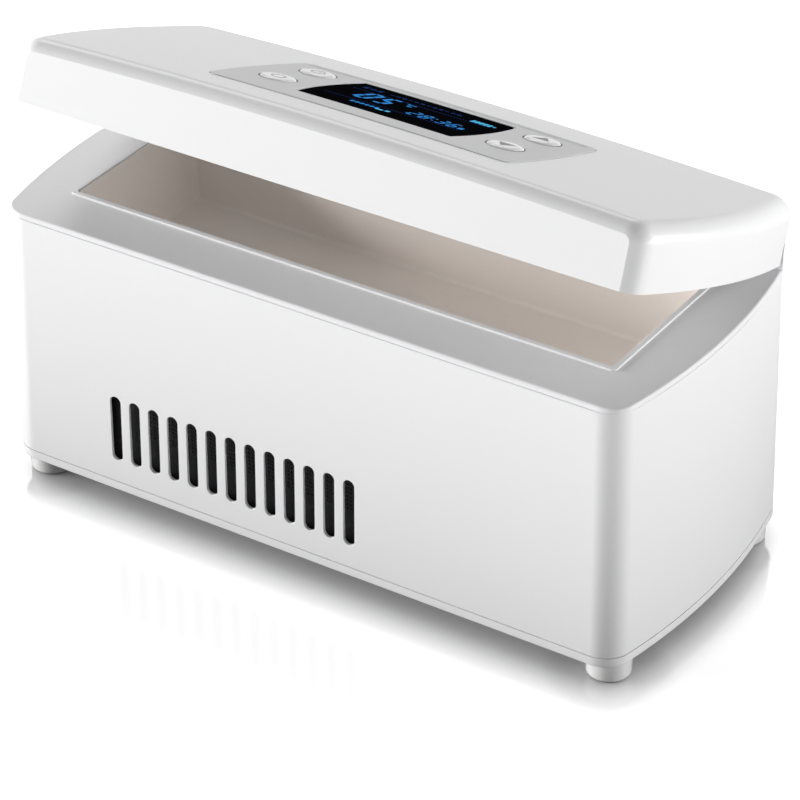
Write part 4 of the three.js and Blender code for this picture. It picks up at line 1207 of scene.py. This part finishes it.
def digit(value, x, y, wide, tall, stroke):
    """Bars of one digit, leaning a little to the right"""
    boxes = []
    for bar in DIGITS[value]:
        across, up = DIGIT_BARS[bar]
        lean = 0.12 * up * tall / 2
        if bar in ("top", "middle", "bottom"):
            boxes.append((x + lean, y + up * tall / 2, wide - stroke * 0.9, stroke, 0))
        else:
            boxes.append((x + across * wide / 2 + lean, y + up * tall / 2, stroke, tall / 2 - stroke * 0.6, -7))
    return boxes


class CASE_OT_buttons(bpy.types.Operator):
    """Four round caps, each with its printed mark and a dark ring in the gap round it, which paints the shade that
    falls in that gap
    """

    bl_idname = "cooling_case.buttons"
    bl_label = "Buttons"

    def execute(self, context):
        sizes = panel()
        white = plastic("Button plastic", finishes().cap, 0.24, coat=0.3, height=0.02, grain=1200)
        printed = plastic("Printed marks", finishes().mark, 0.4, height=0.02, grain=1500)
        # Painted shade: a dark ring sunk in the gap round each cap
        painted_gap_shade = plastic("Dark ring", finishes().mark, 0.6, height=0.05, grain=1500)
        cap_height, edge, flattened = 2.6 * MM, 1.4 * MM, 0.55
        ring_height, ring_sunk = 0.6 * MM, 0.33 * MM
        radius = sizes.button_radius
        for name, x, y in button_places():
            top = lid_face_z() - crown_fall(x) + sizes.proud + sizes.button_proud
            cap = rod(f"cap_{name}", (x, y, top - cap_height / 2), radius, cap_height, sides=72)
            round_rim(cap, facing_up, edge, 8)
            select_faces(cap, lambda centre, normal: centre.z > top - edge + SLACK)
            bpy.ops.transform.resize(value=(1, 1, flattened), center_override=(0, 0, top))
            leave()
            face = top - sizes.button_proud
            # Dark ring in the gap round the cap, painting the gap's shade
            outer = radius + sizes.gap_shade_width - SLACK * 2
            ring = rod(f"ring_{name}", (x, y, face - ring_sunk), outer, ring_height, sides=72)
            combine(ring, rod("inside", (x, y, face), radius + SLACK * 2, 4 * MM, sides=72))
            mark = button_mark(name, x, y, top)
            for piece in (cap, ring, mark):
                swing_open(piece)
                smooth(piece, weighted=piece is not mark)
            finish_piece(cap, f"{name}_button", white, [f"button_{name}"])
            finish_piece(ring, "lid", painted_gap_shade)
            finish_piece(mark, f"{name}_button", printed)
        return {"FINISHED"}


def button_mark(name, x, y, top):
    """Printed mark on a cap: a triangle to the front or the back, a ring, or a ring with a bar"""
    low, high = top - 0.1 * MM, top + 0.02 * MM
    middle = (low + high) / 2
    triangle_radius, triangle_share, triangle_corner = 3 * MM, 0.92, 0.25 * MM
    ring_outer, ring_inner, break_half, bar_half = 2.1 * MM, 1.65 * MM, 0.7 * MM, 0.24 * MM
    if name in ("down", "up"):
        deselect()
        bpy.ops.mesh.primitive_cylinder_add(
            vertices=3, radius=triangle_radius, depth=high - low, location=(x, y, middle),
            rotation=(0, 0, math.pi if name == "down" else 0),
        )
        mark = added(f"mark_{name}")
        edit(mark)
        bpy.ops.transform.resize(value=(1, triangle_share, 1), center_override=(x, y, middle))
        leave()
        select_edges(mark, axis=2)
        bpy.ops.mesh.bevel(offset=triangle_corner, segments=3)
        leave()
        return mark
    mark = rod(f"mark_{name}", (x, y, middle), ring_outer, high - low)
    combine(mark, rod("inside", (x, y, middle), ring_inner, 2 * MM))
    if name == "power":
        combine(mark, block("break", (x - break_half, y, low - MM), (x + break_half, y + 4 * MM, high + MM)))
        bar = block("bar", (x - bar_half, y + 0.2 * MM, low), (x + bar_half, y + 2.7 * MM, high))
        combine(mark, bar, "UNION")
    return mark


class CASE_OT_carried(bpy.types.Operator):
    """Finishes of the frame's own parts that stay: cooler, fan, boards, battery, pins and screws"""

    bl_idname = "cooling_case.carried"
    bl_label = "Inner parts"

    def execute(self, context):
        screws = [f"{place}_screw_{i + 1}" for place in ("base", "lid") for i in range(4)]
        switches = [f"switch_{name}" for name in BUTTONS]
        kept = (
            (metal("Steel", (0.52, 0.52, 0.53), 0.28, (1, 1, 0.08)), ["hinge_pin_left", "hinge_pin_right", *screws]),
            (metal("Aluminium", (0.7, 0.71, 0.73), 0.36, (1, 0.08, 1)), ["cold_block", "heat_sink"]),
            (plastic("Ceramic", (0.84, 0.82, 0.77), 0.75, height=0.1, grain=2500), ["tec_module"]),
            (plastic("Cell wrap", (0.04, 0.11, 0.33), 0.3, coat=0.4, height=0.03, grain=300), ["battery_pack"]),
            (foam_material(), ["insulation_tray", "lid_insulation"]),
            (board_material(), ["main_board", "display_board"]),
            (black_matte(), ["fan_frame", "fan_rotor", "display_module", *switches]),
        )
        for material, nodes in kept:
            for node in nodes:
                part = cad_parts[node]
                part.data.materials.clear()
                part.data.materials.append(material)
        return {"FINISHED"}


class CASE_OT_studio(bpy.types.Operator):
    """Pale floor, soft lamps and the camera"""

    bl_idname = "cooling_case.studio"
    bl_label = "Studio"

    def execute(self, context):
        make_floor()
        make_lamps()
        make_camera()
        return {"FINISHED"}


FLOOR_GLOW = 0.76
FLOOR_BOUNCE = 0.95
SKY = 0.135
LAMP_AIM = Vector((0, 0, 0.05))
LAMP_DISTANCE = 4
LAMP_WIDTH = 2.2
# Name, azimuth from the front and positive to the right, elevation, power and height
LAMPS = (
    ("lamp_left_low", -65, 4, 70.0, 0.5),
    ("lamp_left", -59, 14, 134.0, 1.2),
    ("lamp_right_front", 98, 8, 53.0, 0.8),
    ("lamp_right_low", 128, 4, 44.0, 0.5),
    ("lamp_right", 125, 22, 27.0, 1.2),
    ("lamp_back", -147, 32, 34.0, 1.4),
)


def make_floor():
    """White floor with a painted soft contact shadow, from ambient occlusion in its glow. Near the case it throws
    less light back on the walls than far off, and its reflection is dimmer there: painted shade in the light it
    glows with.
    """
    deselect()
    bpy.ops.mesh.primitive_plane_add(size=12, location=(0, 0, 0))
    floor = added("studio_floor")
    material, tree, shader = principled(
        "Studio floor", {"Roughness": 0.12, "Specular IOR Level": 0.7, "Emission Color": (1, 1, 1, 1)}
    )

    def maths(operation, first, second):
        node = new_node(tree, "Math", operation=operation)
        for i, value in enumerate((first, second)):
            if isinstance(value, float):
                node.inputs[i].default_value = value
            else:
                tree.links.new(value, node.inputs[i])
        return node.outputs[0]

    path = new_node(tree, "LightPath")
    tone = new_node(tree, "Mix", {"A": (0.1, 0.1, 0.1, 1), "B": (0.4, 0.4, 0.4, 1)}, data_type="RGBA")
    contact = new_node(tree, "AmbientOcclusion", {"Distance": 12 * MM}, samples=16)
    narrowed = new_node(tree, "Mapping", {"Scale": (0.6, 1, 1)})
    distance = new_node(tree, "VectorMath", operation="LENGTH")
    far = new_node(tree, "MapRange", {"From Min": 80 * MM, "From Max": 260 * MM})
    wire(
        tree, (path, "Is Camera Ray", tone, "Factor"), (tone, "Result", shader, "Base Color"),
        (new_node(tree, "TexCoord"), "Object", narrowed, "Vector"), (narrowed, "Vector", distance, 0),
        (distance, "Value", far, "Value"),
    )
    # Painted contact shadow: ambient occlusion darkens the floor's glow round the case
    shadow = maths("POWER", contact.outputs["AO"], 2.0)
    # Painted shade in the floor's reflection: it fades out near the case
    mirrored = maths("MULTIPLY", path.outputs["Is Glossy Ray"], far.outputs["Result"])
    seen = maths("ADD", path.outputs["Is Camera Ray"], mirrored)
    glow = maths("MULTIPLY", maths("MULTIPLY", shadow, seen), FLOOR_GLOW)
    # Painted shade in the light the floor throws back: it fades out near the case
    bounced = maths("MULTIPLY", path.outputs["Is Diffuse Ray"], far.outputs["Result"])
    bounce = maths("MULTIPLY", bounced, FLOOR_BOUNCE)
    tree.links.new(maths("ADD", glow, bounce), shader.inputs["Emission Strength"])
    floor.data.materials.append(material)


def make_lamps():
    """Soft lamps round the case, and a world that is white to the camera and dim as a light"""
    for name, azimuth, elevation, power, height in LAMPS:
        around, up = math.radians(azimuth), math.radians(elevation)
        way = Vector((math.sin(around) * math.cos(up), -math.cos(around) * math.cos(up), math.sin(up)))
        place = LAMP_DISTANCE * way
        deselect()
        bpy.ops.object.light_add(type="AREA", location=place)
        lamp = bpy.context.active_object
        lamp.name = name
        lamp.data.shape = "RECTANGLE"
        lamp.data.size = LAMP_WIDTH
        lamp.data.size_y = height
        lamp.data.energy = power
        lamp.rotation_euler = (LAMP_AIM - place).to_track_quat("-Z", "Y").to_euler()
    world = bpy.context.scene.world or bpy.data.worlds.new("Studio")
    bpy.context.scene.world = world
    world.use_nodes = True
    tree = world.node_tree
    tree.nodes.clear()
    sky = new_node(tree, "Background", {"Color": (1, 1, 1, 1)})
    path = new_node(tree, "LightPath")
    seen = new_node(tree, "Math", operation="MAXIMUM")
    strength = new_node(tree, "MapRange", {"To Min": SKY, "To Max": 1.0})
    wire(
        tree, (path, "Is Camera Ray", seen, 0), (path, "Is Glossy Ray", seen, 1), (seen, 0, strength, "Value"),
        (strength, "Result", sky, "Strength"), (sky, "Background", new_node(tree, "OutputWorld"), "Surface"),
    )


def make_camera():
    """The photograph's own viewpoint, with its focal length in pixels of an 800 pixel frame"""
    azimuth, elevation, roll = math.radians(33.02), math.radians(32.43), math.radians(-0.27)
    focal_pixels, frame_pixels, sensor = 3694.05, 800, 36
    turn = Matrix.Rotation(azimuth, 3, "Z") @ Matrix.Rotation(math.pi / 2 - elevation, 3, "X")
    turn = turn @ Matrix.Rotation(roll, 3, "Z")
    aim = Vector((0, middle_y() + 0.69 * MM, 46 * MM))
    deselect()
    bpy.ops.object.camera_add()
    camera = bpy.context.active_object
    camera.location = aim + turn @ Vector((1.8 * MM, -11.75 * MM, 996.62 * MM))
    camera.rotation_euler = turn.to_euler()
    camera.data.sensor_width = sensor
    camera.data.lens = sensor * focal_pixels / frame_pixels
    bpy.context.scene.camera = camera
    bpy.context.scene.view_settings.view_transform = "Standard"


class CASE_PT_pieces(bpy.types.Panel):
    """Lists the sizes and the pieces"""

    bl_label = "Cooling case"
    bl_idname = "CASE_PT_pieces"
    bl_space_type = "VIEW_3D"
    bl_region_type = "UI"
    bl_category = "Cooling case"

    def draw(self, context):
        layout = self.layout
        for name, group in GROUPS:
            settings = getattr(context.scene, name)
            box = layout.box()
            for key in group.__annotations__:
                box.prop(settings, key)
        for operator in OPERATORS:
            layout.operator(operator.bl_idname)


GROUPS = (
    ("case_sizes", CaseSizes), ("lid_sizes", LidSizes),
    ("panel_sizes", PanelSizes), ("case_finishes", Finishes),
)
OPERATORS = (
    CASE_OT_shell, CASE_OT_screens, CASE_OT_base, CASE_OT_feet, CASE_OT_deck, CASE_OT_liner, CASE_OT_inlet,
    CASE_OT_lid, CASE_OT_lid_underside, CASE_OT_panel, CASE_OT_display, CASE_OT_buttons,
    CASE_OT_carried, CASE_OT_studio,
)


def register():
    for name, group in GROUPS:
        bpy.utils.register_class(group)
        setattr(bpy.types.Scene, name, bpy.props.PointerProperty(type=group))
    for operator in OPERATORS:
        bpy.utils.register_class(operator)
    bpy.utils.register_class(CASE_PT_pieces)


def unregister():
    bpy.utils.unregister_class(CASE_PT_pieces)
    for operator in reversed(OPERATORS):
        bpy.utils.unregister_class(operator)
    for name, group in reversed(GROUPS):
        delattr(bpy.types.Scene, name)
        bpy.utils.unregister_class(group)


def main():
    register()
    for operator in OPERATORS:
        step = operator.bl_idname.split(".")[1]
        getattr(bpy.ops.cooling_case, step)()


if __name__ == "__main__":
    main()
